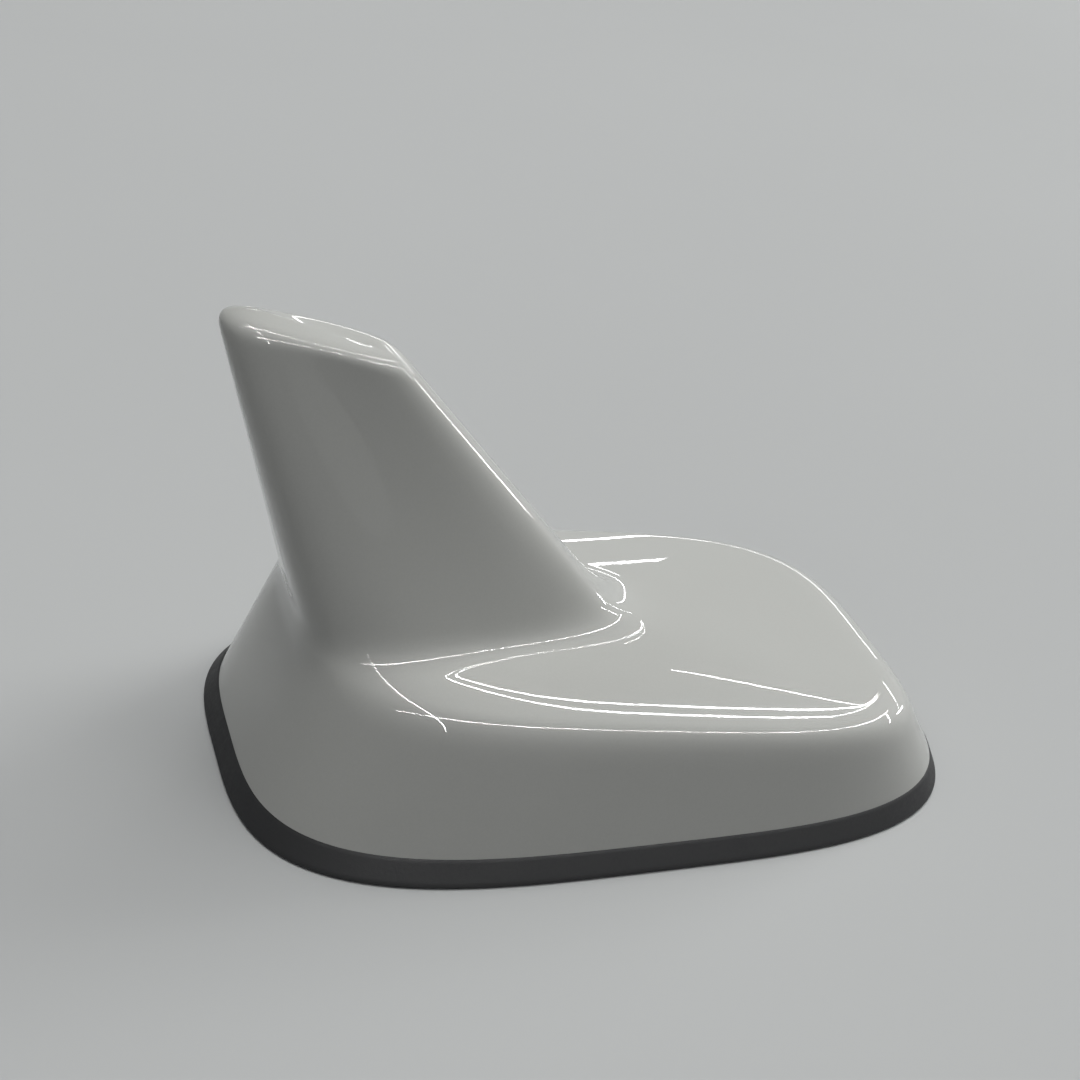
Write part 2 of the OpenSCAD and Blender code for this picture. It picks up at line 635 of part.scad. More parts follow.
// Top-load plate, its plastic holder and the foam above them lean with the crown
crown_lean = atan2(crown_lift, crown_l);
crown_mid = [(crown[0] + crown[1]) / 2, crown_z + crown_lift / 2];
module crown_frame() translate([crown_mid.x, 0, crown_mid.y]) rotate([0, crown_lean, 0]) children();
function crown_pt(x, z) = crown_mid
    + [x * cos(crown_lean) + z * sin(crown_lean), z * cos(crown_lean) - x * sin(crown_lean)];
plate_drop = wall + 2;
sheet_t = 0.4;
load_rear = -4.5;
load_front = 8;
load_w = crown_w - 2 * wall;
load_skirt = 6;
load_splay = 0.5;
foam_w = load_w - 1.2;
load_rake = load_skirt * tan(trail_lean + crown_lean);
module top_load_plate() color("#c08a4a") crown_frame() translate([0, 0, -plate_drop]) intersection() {
    translate([load_rear, 0, 0]) rotate([90, 0, 90]) linear_extrude(load_front - load_rear) polygon([
        [-load_w / 2, 0], [load_w / 2, 0], [load_w / 2 + load_splay, -load_skirt],
        [load_w / 2 + load_splay - sheet_t, -load_skirt], [load_w / 2 - sheet_t, -sheet_t],
        [sheet_t - load_w / 2, -sheet_t], [sheet_t - load_w / 2 - load_splay, -load_skirt],
        [-load_w / 2 - load_splay, -load_skirt]
    ]);
    rotate([90, 0, 0]) translate([0, 0, -load_w]) linear_extrude(2 * load_w) polygon([
        [load_rear, 1], [load_rear, -sheet_t], [load_rear + load_rake, -load_skirt - 1],
        [load_front + 1, -load_skirt - 1], [load_front + 1, 1]
    ]);
}
module element_holder() color("#e4e1d6") {
    w = load_w - 2 * sheet_t - 2 * fit_gap;
    foot_low = holder_z - 3;
    difference() {
        rotate([90, 0, 0]) translate([0, 0, -w / 2]) linear_extrude(w) polygon([
            [trail_x(foot_low) + edge_gap + 1, foot_low],
            [crown_pt(load_front - 1, 0).x + 2, foot_low],
            crown_pt(load_front - 1, -plate_drop - sheet_t),
            crown_pt(load_rear + 2, -plate_drop - sheet_t)
        ]);
        translate([crown[1], -fin_board_t / 2 - fit_gap, 0])
            cube([fin_root_l, fin_board_t + 2 * fit_gap, holder_z]);
    }
}
foam_h = 1.6;
module foam_block() color("#3a3a3d") crown_frame() translate([load_rear + 1, -foam_w / 2, -plate_drop])
    cube([load_front - load_rear - 2, foam_w, foam_h]);

// Stamped element for telephone signals, across the rear of the main board
phone_x = rear_x + 13;
phone_h = 13;
phone_w = 24;
phone_fold = 3.6;
// Slots in it: [x, y, width, height]
phone_slots = [[-9.5, -1, 2, 9], [7.5, -1, 2, 9], [-5, -1, 10, 4], [-9.5, 10, 14, 1.2]];
module phone_element() color("#c79a55") {
    translate([phone_x - sheet_t / 2, 0, board_top]) rotate([90, 0, 90]) linear_extrude(sheet_t)
        difference() {
            translate([-phone_w / 2, 0]) square([phone_w, phone_h]);
            for (s = phone_slots) translate([s[0], s[1]]) square([s[2], s[3]]);
        }
    translate([phone_x - sheet_t / 2, -phone_w / 2, board_top + phone_h - sheet_t])
        cube([phone_fold, phone_w, sheet_t]);
}

// Spring strip from the main board to the foot of the upright board
clip_wide = 3;
module feed_clip() color("#d0b070") translate([fin_base[1], clip_wide / 2, board_top]) rotate([90, 0, 0])
    linear_extrude(clip_wide) polygon([
        [0, sheet_t], [0, 4], [0.3, 4.4], [0.8, 4.4], [0.8, 4], [0.3, 3.8], [0.3, sheet_t], [3, sheet_t],
        [3, 0], [0, 0]
    ]);

// Block of four coaxial ports that reaches down through the neck
port_spots = [for (x = [-1, 1], y = [-1, 1]) [block_x + x * port_pitch / 2, y * port_pitch / 2]];
collar_h = 1.2;
tube_in = 1.5;
tube_wall = 0.35;
tube_l = port_h + tube_in;
pin_in = 3;
pin_point = 0.4;
groove_w = 1.6;
groove_deep = 0.5;
latch_w = 3.4;
module socket_block() color("#202124") difference() {
    union() {
        translate([block_x, 0, -block_drop]) linear_extrude(block_drop + board_z)
            rounded(block_l, block_w, corner_r);
        translate([block_x, 0, foot_z]) linear_extrude(collar_h) rounded(collar.x, collar.y, collar_out);
    }
    for (p = port_spots) translate([p.x, p.y, -block_drop]) {
        translate([0, 0, -eps]) cylinder(d = port_d, h = port_h + eps);
        translate([0, 0, -eps]) cylinder(d1 = port_d + 0.8, d2 = port_d, h = 0.4);
        cylinder(d = tube_d + 2 * thread_gap, h = port_h + 2 * tube_in);
        cylinder(d = pin_d + 2 * thread_gap, h = block_drop + foot_z + through);
    }
    // Coding grooves and latch pockets in both sides
    for (side = [1, -1]) {
        translate([block_x + 0.2 * block_l, side * block_w / 2, -block_drop])
            cube([groove_w, 2 * groove_deep, 2 * port_h], center = true);
        translate([block_x - 0.15 * block_l, side * block_w / 2, -block_drop + 0.4 * port_h])
            cube([latch_w, 2 * groove_deep, groove_w], center = true);
    }
}
module socket_shields() color("#c9a24b") for (p = port_spots)
    translate([p.x, p.y, -block_drop + tube_in]) difference() {
        cylinder(d = tube_d, h = tube_l);
        translate([0, 0, -eps]) cylinder(d = tube_d - 2 * tube_wall, h = tube_l + 1);
    }
module socket_contacts() color("#d9b65c") for (p = port_spots)
    translate([p.x, p.y, -block_drop + pin_in]) {
        cylinder(d = pin_d, h = block_drop - pin_in + board_top);
        translate([0, 0, -pin_point]) cylinder(d1 = pin_d / 2, d2 = pin_d, h = pin_point);
    }

// Stud with a hexagon head in the base plate and a pilot end that leads the nut on
pilot_d = stud_d - 2;
pilot_l = 4;
stud_edge = 0.5;
module mounting_stud() color("#b9bbbe") {
    shank_low = -stud_l + pilot_l + 2 * stud_edge;
    translate([0, 0, foot_z - stud_head_h]) cylinder(d = nut_af / cos(30), h = stud_head_h, $fn = 6);
    translate([0, 0, shank_low]) cylinder(d = stud_d, h = foot_z - stud_head_h - shank_low + eps);
    translate([0, 0, shank_low - stud_edge])
        cylinder(d1 = stud_d - 2 * stud_edge, d2 = stud_d, h = stud_edge + eps);
    translate([0, 0, shank_low - stud_edge - pilot_l]) cylinder(d = pilot_d, h = pilot_l + eps);
    translate([0, 0, -stud_l]) cylinder(d1 = pilot_d - 2 * stud_edge, d2 = pilot_d, h = stud_edge + eps);
}

// Pressed plate whose four claws bite the underside of the roof
claw_z = -roof_t - claw_h - claw_t;
neck_mid = neck_l / 2 - neck_back;
claw_y = 7;
claw_half = 3;
claw_tip = 0.5;
module claw_plate() color("#a9acb0") {
    difference() {
        translate([neck_mid, 0, claw_z]) linear_extrude(claw_t) rounded(claw_l, claw_w, 4);
        translate([0, 0, claw_z - 1]) cylinder(d = stud_d + 2 * fit_gap, h = through);
        translate([block_x, 0, claw_z - 1]) linear_extrude(through)
            rounded(block_l + 2 * air_gap, block_w + 2 * air_gap, 1.5);
    }
    for (end = [1, -1], side = [1, -1])
        translate([neck_mid + end * (claw_l - claw_t) / 2 - claw_t / 2, side * claw_y, claw_z])
            rotate([90, 0, 90]) linear_extrude(claw_t) polygon([
                [-claw_half, 0], [claw_half, 0], [claw_half, claw_t], [claw_tip, claw_t + claw_h],
                [-claw_tip, claw_t + claw_h], [-claw_half, claw_t]
            ]);
}
flange_h = 1.2;
corner_out = 1.2;
corner_h = 0.8;
module hex_nut() color("#b5b7ba") translate([0, 0, claw_z - nut_h]) difference() {
    union() {
        intersection() {
            cylinder(d = nut_af / cos(30), h = nut_h, $fn = 6);
            union() {
                cylinder(d1 = nut_af, d2 = nut_af + 2 * corner_out, h = corner_h);
                translate([0, 0, corner_h]) cylinder(d = nut_af + 2 * corner_out, h = nut_h - corner_h);
            }
        }
        translate([0, 0, nut_h - flange_h]) cylinder(d = nut_flange_d, h = flange_h);
        translate([0, 0, nut_h - flange_h - 1]) cylinder(d1 = nut_af, d2 = nut_flange_d - 1, h = 1);
    }
    translate([0, 0, -1]) cylinder(d = stud_d + 2 * thread_gap, h = nut_h + 2);
}

// Spring clips in the neck's sides, which snap out under the roof's edge
clip_low = 0.1 - neck_drop;
clip_out = 2.6;
module retaining_clips() color("#aab0b5") for (side = [0, 1]) mirror([0, side, 0])
    translate([clip_x - clip_w / 2, neck_w / 2 - clip_depth, 0]) rotate([90, 0, 90]) linear_extrude(clip_w)
        polygon([
            [0, pad_t], [0, clip_low], [2 * clip_t, clip_low], [clip_out, -roof_t - 0.45],
            [clip_out - 0.3, -roof_t - 0.2], [0.7, clip_low + clip_t], [clip_t, clip_low + clip_t],
            [clip_t, pad_t]
        ]);

membrane_d = 9;
module vent_membrane() color("#e9e9e6") translate([vent_x, vent_y, foot_z]) cylinder(d = membrane_d, h = 0.4);

cover_shell();
roof_gasket();
base_plate();
cover_seal();
cover_screws();
main_board();
board_screws();
gnss_patch();
gnss_electrode();
gnss_pin();
shield_can();
board_chips();
fin_board();
loading_coil();
top_load_plate();
element_holder();
foam_block();
phone_element();
feed_clip();
socket_block();
socket_shields();
socket_contacts();
mounting_stud();
claw_plate();
hex_nut();
retaining_clips();
vent_membrane();
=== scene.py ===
import math

import bmesh
import bpy
from mathutils import Matrix, Vector


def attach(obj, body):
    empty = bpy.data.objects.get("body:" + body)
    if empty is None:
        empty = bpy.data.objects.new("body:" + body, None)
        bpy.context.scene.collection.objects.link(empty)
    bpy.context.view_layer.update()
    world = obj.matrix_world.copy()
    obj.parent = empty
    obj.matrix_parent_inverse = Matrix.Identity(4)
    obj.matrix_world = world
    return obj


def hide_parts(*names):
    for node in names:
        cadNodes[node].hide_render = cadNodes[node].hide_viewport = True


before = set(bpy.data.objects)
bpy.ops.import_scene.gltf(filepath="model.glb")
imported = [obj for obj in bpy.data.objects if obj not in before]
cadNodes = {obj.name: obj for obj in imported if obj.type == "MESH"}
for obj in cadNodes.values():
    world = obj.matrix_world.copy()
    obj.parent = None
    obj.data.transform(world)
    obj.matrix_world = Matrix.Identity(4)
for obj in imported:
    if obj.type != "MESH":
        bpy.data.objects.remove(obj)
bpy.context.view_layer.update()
scene = bpy.context.scene
mm = 0.001
joinWithin = 0.004 * mm
print("frame loaded,", len(cadNodes), "nodes")


# sRGB hex to a linear colour
def hexColor(text):
    channels = [int(text[i:i + 2], 16) / 255 for i in (1, 3, 5)]
    return [c / 12.92 if c <= 0.04045 else ((c + 0.055) / 1.055) ** 2.4 for c in channels] + [1.0]


# adds a node; an input takes a value, a socket, or a node whose first output is meant, and what else is
# set on the node comes by its name
def addNode(tree, kind, inputs=None, **settings):
    node = tree.nodes.new(kind)
    for key, value in settings.items():
        setattr(node, key, value)
    for key, source in (inputs or {}).items():
        if isinstance(source, bpy.types.Node):
            source = source.outputs[0]
        if isinstance(source, bpy.types.NodeSocket):
            tree.links.new(source, node.inputs[key])
        else:
            node.inputs[key].default_value = source
    return node


# a geometry tree with named inputs and outputs; returns it with its input and output nodes
def newTree(name, inputs, outputs):
    tree = bpy.data.node_groups.new(name, "GeometryNodeTree")
    for direction, sockets in (("INPUT", inputs), ("OUTPUT", outputs)):
        for socketName, kind in sockets.items():
            tree.interface.new_socket(name=socketName, in_out=direction, socket_type="NodeSocket" + kind)
    return tree, addNode(tree, "NodeGroupInput"), addNode(tree, "NodeGroupOutput")


# leaves one material on a piece; a tree adds an empty slot in front of its own
def wearOnly(piece, material):
    mesh = piece.data
    mesh.materials.clear()
    mesh.materials.append(material)
    mesh.polygons.foreach_set("material_index", [0] * len(mesh.polygons))


# runs a tree on an object and leaves a plain mesh
def growPiece(name, tree, values):
    piece = bpy.data.objects.new(name, bpy.data.meshes.new(name))
    scene.collection.objects.link(piece)
    modifier = piece.modifiers.new("grow", "NODES")
    modifier.node_group = tree
    for item in tree.interface.items_tree:
        if item.in_out == "INPUT" and item.name in values:
            modifier[item.identifier] = values[item.name]
    depsgraph = bpy.context.evaluated_depsgraph_get()
    mesh = bpy.data.meshes.new_from_object(piece.evaluated_get(depsgraph))
    piece.modifiers.remove(modifier)
    piece.data = mesh
    mesh.name = name
    wearOnly(piece, values["Material"])
    return piece


# joins pieces, closes their shared edges, bridges the two open loops below a height if there is one,
# turns the faces outwards
def weld(name, pieces, sharpAngle=40, bridgeBelow=None):
    material = pieces[0].data.materials[0]
    shape = bmesh.new()
    for piece in pieces:
        shape.from_mesh(piece.data)
    bmesh.ops.remove_doubles(shape, verts=shape.verts, dist=joinWithin)
    bmesh.ops.dissolve_degenerate(shape, edges=shape.edges, dist=joinWithin)
    if bridgeBelow:
        rims = [edge for edge in shape.edges
                if edge.is_boundary and all(vert.co.z < bridgeBelow for vert in edge.verts)]
        bmesh.ops.bridge_loops(shape, edges=rims)
    bmesh.ops.recalc_face_normals(shape, faces=shape.faces)
    mesh = bpy.data.meshes.new(name)
    shape.to_mesh(mesh)
    shape.free()
    for piece in pieces:
        bpy.data.objects.remove(piece)
    mesh.shade_smooth()
    mesh.set_sharp_from_angle(angle=math.radians(sharpAngle))
    welded = bpy.data.objects.new(name, mesh)
    wearOnly(welded, material)
    scene.collection.objects.link(welded)
    return welded


# texture scale for a pattern that repeats about every so many millimetres
def perSize(millimetres):
    return 1000 / millimetres


# a material with a plain shader, and the piece's own coordinates
def newMaterial(name):
    material = bpy.data.materials.new(name)
    material.use_nodes = True
    tree = material.node_tree
    tree.nodes.clear()
    shader = addNode(tree, "ShaderNodeBsdfPrincipled")
    addNode(tree, "ShaderNodeOutputMaterial", {"Surface": shader})
    coords = addNode(tree, "ShaderNodeTexCoord").outputs["Object"]
    return material, tree, shader, coords


# what the grained finishes share: size of the clouds in mm and their share in the tone, the stretch of
# noise that makes the tone, and the relief's depth per grain size
grainBasis = {"blotch": 6.0, "cloudShare": 0.5, "toneFrom": 0.35, "toneTo": 0.65, "depth": 0.15}


# a finish with grain: two tones of one colour, uneven roughness and a fine relief. Sizes are in mm.
def grainedFinish(name, look):
    material, tree, shader, coords = newMaterial(name)
    mapped = addNode(tree, "ShaderNodeMapping",
                     {"Vector": coords, "Scale": look.get("stretch", (1, 1, 1))})
    fine = addNode(tree, "ShaderNodeTexNoise",
                   {"Vector": mapped, "Scale": perSize(look["grain"]), "Detail": 4.0, "Roughness": 0.6})
    blotch = look.get("blotch", grainBasis["blotch"])
    broad = addNode(tree, "ShaderNodeTexNoise",
                    {"Vector": coords, "Scale": perSize(blotch), "Detail": 3.0})
    both = addNode(tree, "ShaderNodeMix", {0: grainBasis["cloudShare"], 2: fine, 3: broad})
    tone = addNode(tree, "ShaderNodeMapRange",
                   {0: both, 1: grainBasis["toneFrom"], 2: grainBasis["toneTo"]})
    colour = addNode(tree, "ShaderNodeMix", {
        0: tone, 6: hexColor(look["dark"]), 7: hexColor(look["light"])}, data_type="RGBA")
    rough = addNode(tree, "ShaderNodeMix", {0: tone, 2: look["smooth"], 3: look["rough"]})
    depth = look["grain"] * grainBasis["depth"] * mm
    relief = addNode(tree, "ShaderNodeBump",
                     {"Height": fine, "Strength": look["relief"], "Distance": depth})
    tree.links.new(colour.outputs[2], shader.inputs["Base Color"])
    tree.links.new(rough.outputs[0], shader.inputs["Roughness"])
    tree.links.new(relief.outputs[0], shader.inputs["Normal"])
    shader.inputs["Metallic"].default_value = look.get("metallic", 0.0)
    shader.inputs["Coat Weight"].default_value = look.get("coat", 0.0)
    return material


# a polyester clear coat over pale warm grey paint on moulded ABS: a soft matt ground with razor-thin
# mirror lines on top, and the faint waviness of sprayed lacquer
paint = {
    "light": "#b9bab5", "dark": "#b4b5b0", "pigment": 0.35, "pigmentShare": 0.4, "cloud": 30.0,
    "toneFrom": 0.3, "toneTo": 0.7, "smooth": 0.5, "rough": 0.56, "groundShine": 0.3,
    "wave": 3.2, "waveDepth": 0.012, "waveStrength": 0.25, "coatRough": 0.02,
}


def clearCoatedPaint():
    material, tree, shader, coords = newMaterial("clear-coated grey paint")
    cloud = addNode(tree, "ShaderNodeTexNoise",
                    {"Vector": coords, "Scale": perSize(paint["cloud"]), "Detail": 3.0})
    pigment = addNode(tree, "ShaderNodeTexNoise",
                      {"Vector": coords, "Scale": perSize(paint["pigment"]), "Detail": 1.0})
    both = addNode(tree, "ShaderNodeMix", {0: paint["pigmentShare"], 2: cloud, 3: pigment})
    tone = addNode(tree, "ShaderNodeMapRange", {0: both, 1: paint["toneFrom"], 2: paint["toneTo"]})
    colour = addNode(tree, "ShaderNodeMix", {
        0: tone, 6: hexColor(paint["dark"]), 7: hexColor(paint["light"])}, data_type="RGBA")
    rough = addNode(tree, "ShaderNodeMix", {0: tone, 2: paint["smooth"], 3: paint["rough"]})
    wave = addNode(tree, "ShaderNodeTexNoise",
                   {"Vector": coords, "Scale": perSize(paint["wave"]), "Detail": 1.0})
    relief = addNode(tree, "ShaderNodeBump", {
        "Height": wave, "Strength": paint["waveStrength"], "Distance": paint["waveDepth"] * mm})
    tree.links.new(colour.outputs[2], shader.inputs["Base Color"])
    tree.links.new(rough.outputs[0], shader.inputs["Roughness"])
    tree.links.new(relief.outputs[0], shader.inputs["Coat Normal"])
    shader.inputs["Coat Weight"].default_value = 1.0
    shader.inputs["Coat Roughness"].default_value = paint["coatRough"]
    shader.inputs["Specular IOR Level"].default_value = paint["groundShine"]
    return material


looks = {
    # EPDM, compression moulded against an eroded tool: dull black with a faint grey bloom
    "moulded EPDM rubber": {
        "light": "#151518", "dark": "#0e0e10", "grain": 0.6, "smooth": 0.5, "rough": 0.68,
        "relief": 0.35},
    # aluminium die cast and left as cast: pale grey, frosty, with flow clouds
    "die-cast aluminium": {
        "light": "#b9bbbd", "dark": "#97999c", "grain": 0.5, "metallic": 0.9, "smooth": 0.38,
        "rough": 0.55, "relief": 0.35},
    # silicone cord, extruded: dark blue grey with a soft sheen
    "extruded silicone": {
        "light": "#3f444b", "dark": "#30343a", "grain": 0.8, "smooth": 0.45, "rough": 0.6,
        "relief": 0.15},
    # steel with a blue-passivated zinc layer from the barrel: bright, cool, slightly cloudy
    "zinc-plated steel": {
        "light": "#cdcfd2", "dark": "#a5a9ad", "grain": 0.7, "blotch": 3.0, "metallic": 1.0,
        "smooth": 0.22, "rough": 0.36, "relief": 0.12},
    # cold-rolled spring strip: bright, with lines along the rolling direction
    "rolled spring steel": {
        "light": "#c4c6c9", "dark": "#a7aaae", "grain": 0.25, "metallic": 1.0, "stretch": (1, 8, 1),
        "smooth": 0.2, "rough": 0.3, "relief": 0.1},
    # tinned steel sheet, bent: white metal shine with fine rolling lines
    "tinned sheet": {
        "light": "#dcdedf", "dark": "#bfc2c4", "grain": 0.4, "metallic": 1.0, "stretch": (1, 6, 1),
        "smooth": 0.25, "rough": 0.38, "relief": 0.08},
    # glass-fibre laminate under printed solder resist: deep green, glossy, with the weave just showing
    "green solder resist": {
        "light": "#1e7347", "dark": "#135636", "grain": 0.9, "coat": 0.4, "smooth": 0.28, "rough": 0.4,
        "relief": 0.25},
    # epoxy moulded round the chips: charcoal, dull, slightly sandy
    "moulded epoxy": {
        "light": "#323237", "dark": "#242428", "grain": 0.3, "smooth": 0.5, "rough": 0.62,
        "relief": 0.3},
    # dielectric ceramic, pressed and fired: cream, eggshell dull
    "fired ceramic": {
        "light": "#ddd4bd", "dark": "#cdc2a6", "grain": 0.4, "smooth": 0.4, "rough": 0.55,
        "relief": 0.2},
    # silver paste, screen printed and fired: white metal, satin and faintly grainy
    "fired silver": {
        "light": "#dcdad4", "dark": "#bdbab2", "grain": 0.35, "metallic": 1.0, "smooth": 0.35,
        "rough": 0.5, "relief": 0.3},
    # drawn copper under clear enamel: warm red brown with a wet shine
    "enamelled copper": {
        "light": "#c4713b", "dark": "#9c5227", "grain": 0.5, "metallic": 1.0, "coat": 0.6,
        "smooth": 0.2, "rough": 0.3, "relief": 0.05},
    # phosphor bronze, rolled and stamped: golden brown with rolling lines
    "rolled phosphor bronze": {
        "light": "#cf9a5b", "dark": "#b17f43", "grain": 0.3, "metallic": 1.0, "stretch": (1, 6, 1),
        "smooth": 0.25, "rough": 0.38, "relief": 0.1},
    # nylon, moulded without pigment: milky white, waxy
    "natural nylon": {
        "light": "#e6e2d6", "dark": "#d8d3c4", "grain": 0.8, "smooth": 0.4, "rough": 0.5,
        "relief": 0.12},
    # polyethylene foam, die cut: black, dead matt, full of small cells
    "closed-cell foam": {
        "light": "#3c3c40", "dark": "#232326", "grain": 0.35, "smooth": 0.85, "rough": 0.95,
        "relief": 0.9},
    # nylon with glass fibres, moulded: black, satin, with a dry skin
    "glass-filled nylon": {
        "light": "#27282b", "dark": "#1b1c1e", "grain": 0.4, "smooth": 0.4, "rough": 0.55,
        "relief": 0.25},
    # turned brass with a thin gold plate: rich yellow, bright
    "gold-plated brass": {
        "light": "#dcb45e", "dark": "#c0963f", "grain": 0.3, "metallic": 1.0, "smooth": 0.15,
        "rough": 0.25, "relief": 0.06},
    # stretched fluoropolymer film: paper white, matt, finely fibrous
    "stretched vent film": {
        "light": "#ececea", "dark": "#dadad6", "grain": 0.2, "smooth": 0.7, "rough": 0.8,
        "relief": 0.4},
}
finishes = {name: grainedFinish(name, look) for name, look in looks.items()}
finishes["clear-coated grey paint"] = clearCoatedPaint()
nodeFinish = {
    "cover_shell": "clear-coated grey paint", "roof_gasket": "moulded EPDM rubber",
    "base_plate": "die-cast aluminium", "cover_seal": "extruded silicone",
    "cover_screws": "zinc-plated steel", "main_board": "green solder resist",
    "board_screws": "zinc-plated steel", "gnss_patch": "fired ceramic",
    "gnss_electrode": "fired silver", "gnss_pin": "tinned sheet", "shield_can": "tinned sheet",
    "board_chips": "moulded epoxy", "fin_board": "green solder resist",
    "loading_coil": "enamelled copper", "top_load_plate": "rolled phosphor bronze",
    "element_holder": "natural nylon", "foam_block": "closed-cell foam",
    "phone_element": "rolled phosphor bronze", "feed_clip": "rolled phosphor bronze",
    "socket_block": "glass-filled nylon", "socket_shields": "gold-plated brass",
    "socket_contacts": "gold-plated brass", "mounting_stud": "zinc-plated steel",
    "claw_plate": "zinc-plated steel", "hex_nut": "zinc-plated steel",
    "retaining_clips": "rolled spring steel", "vent_membrane": "stretched vent film",
}
for name, node in cadNodes.items():
    node.data.materials.clear()
    node.data.materials.append(finishes[nodeFinish[name]])
print("materials set")


# where the photograph was taken from: angles in degrees, place in metres, lens and sensor in mm
camera = {
    "azimuth": -27.0, "elevation": 32.36, "roll": 13.47,
    "distance": 272.07 * mm,
    "target": Vector((-3.91, 22.92, 21.18)) * mm,
    "lens": 53.92, "sensor": 36, "nearest": 0.01, "farthest": 60,
}
turn, rise, roll = (math.radians(camera[key]) for key in ("azimuth", "elevation", "roll"))
towardsCamera = Vector((math.sin(turn) * math.cos(rise), -math.cos(turn) * math.cos(rise),
                        math.sin(rise)))
levelRight = (-towardsCamera).cross(Vector((0, 0, 1))).normalized()
levelUp = levelRight.cross(-towardsCamera)
right = levelRight * math.cos(roll) + levelUp * math.sin(roll)
up = levelUp * math.cos(roll) - levelRight * math.sin(roll)
cameraData = bpy.data.cameras.new("camera")
cameraData.sensor_width = camera["sensor"]
cameraData.lens = camera["lens"]
cameraData.clip_start = camera["nearest"]
cameraData.clip_end = camera["farthest"]
cameraObject = bpy.data.objects.new("camera", cameraData)
tilt = Matrix((right, up, towardsCamera)).transposed().to_4x4()
cameraObject.matrix_world = Matrix.Translation(
    camera["target"] + towardsCamera * camera["distance"]) @ tilt
scene.collection.objects.link(cameraObject)
scene.camera = cameraObject
print("camera placed")


# the cover's level rings in mm: front and rear end, half width, squareness and height at the front and
# the rear, flare, and the reach of the rounding at the ring at its front, side and rear
cover = {
    "foot": {"ends": (59, -59), "halfWidth": 32, "squareness": (3.4, 3.4), "flare": 0,
             "heights": (4, 4)},
    "shoulder": {"ends": (49.5, -53), "halfWidth": 27, "squareness": (3.8, 3.5), "flare": 0.07,
                 "heights": (16.5, 25.5), "reach": (7, 6, 4.5)},
    "root": {"ends": (-1, -53), "halfWidth": 13, "squareness": (4.2, 3.2), "flare": -0.45,
             "overPlatform": 4.5, "reach": (12.5, 5, 6)},
    "crown": {"ends": (-43, -67.5), "halfWidth": 4.4, "squareness": (3.8, 2.4), "flare": 0.1,
              "heights": (69.5, 74.5), "reach": (8, 2.6, 5.5)},
    "crownRise": 0.4,
    "wall": 2.2,
    "rimHeight": 3,
    "rimSlope": 2,  # the thick rim runs out into the wall over this height
    "softening": 3.3,
    "reachPerWall": 0.7,  # share of the wall by which an inner rounding's reach differs
    "crownShare": 0.98,  # share of the way to the ridge that the crown's rounding may take
    # rows up a skin: wall, shoulder, platform, root, flank, crown, top
    "outerRows": (8, 18, 12, 20, 16, 16, 4), "outerColumns": 288,
    "innerRows": (4, 8, 6, 10, 6, 6, 2), "innerColumns": 144,
}


# height of the sloping platform between the shoulder's two ends
def platformHeight(x):
    front, rear = cover["shoulder"]["ends"]
    low, high = cover["shoulder"]["heights"]
    return low + (high - low) * (front - x) / (front - rear)


cover["root"]["heights"] = [
    platformHeight(x) + cover["root"]["overPlatform"] for x in cover["root"]["ends"]]
scalar, vector = "Float", "Vector"
ringInputs = {"Rear": vector, "Front": vector, "Half Width": scalar, "Front Squareness": scalar,
              "Rear Squareness": scalar, "Flare": scalar}


# ends a tree with real geometry in its own material
def endTree(tree, given, result, geometry):
    real = addNode(tree, "GeometryNodeRealizeInstances", {"Geometry": geometry})
    finished = addNode(tree, "GeometryNodeSetMaterial",
                       {"Geometry": real, "Material": given.outputs["Material"]})
    tree.links.new(finished.outputs[0], result.inputs[0])
    return tree


# a unit grid to wrap round the Z axis, with its points' places on it and their angles
def roundGrid(tree, columns, rows):
    across = addNode(tree, "ShaderNodeMath", {0: columns, 1: 1.0}, operation="ADD")
    grid = addNode(tree, "GeometryNodeMeshGrid",
                   {"Size X": 1.0, "Size Y": 1.0, "Vertices X": across, "Vertices Y": rows})
    spot = addNode(tree, "ShaderNodeSeparateXYZ", {0: addNode(tree, "GeometryNodeInputPosition")})
    angle = addNode(tree, "ShaderNodeMath", {0: spot, 1: math.tau, 2: math.pi}, operation="MULTIPLY_ADD")
    return grid, spot, angle


# puts a grid's points in their places and closes its seam and poles
def wrapGrid(tree, grid, position):
    shaped = addNode(tree, "GeometryNodeSetPosition", {"Geometry": grid, "Position": position})
    return addNode(tree, "GeometryNodeMergeByDistance", {"Geometry": shaped, "Distance": joinWithin})


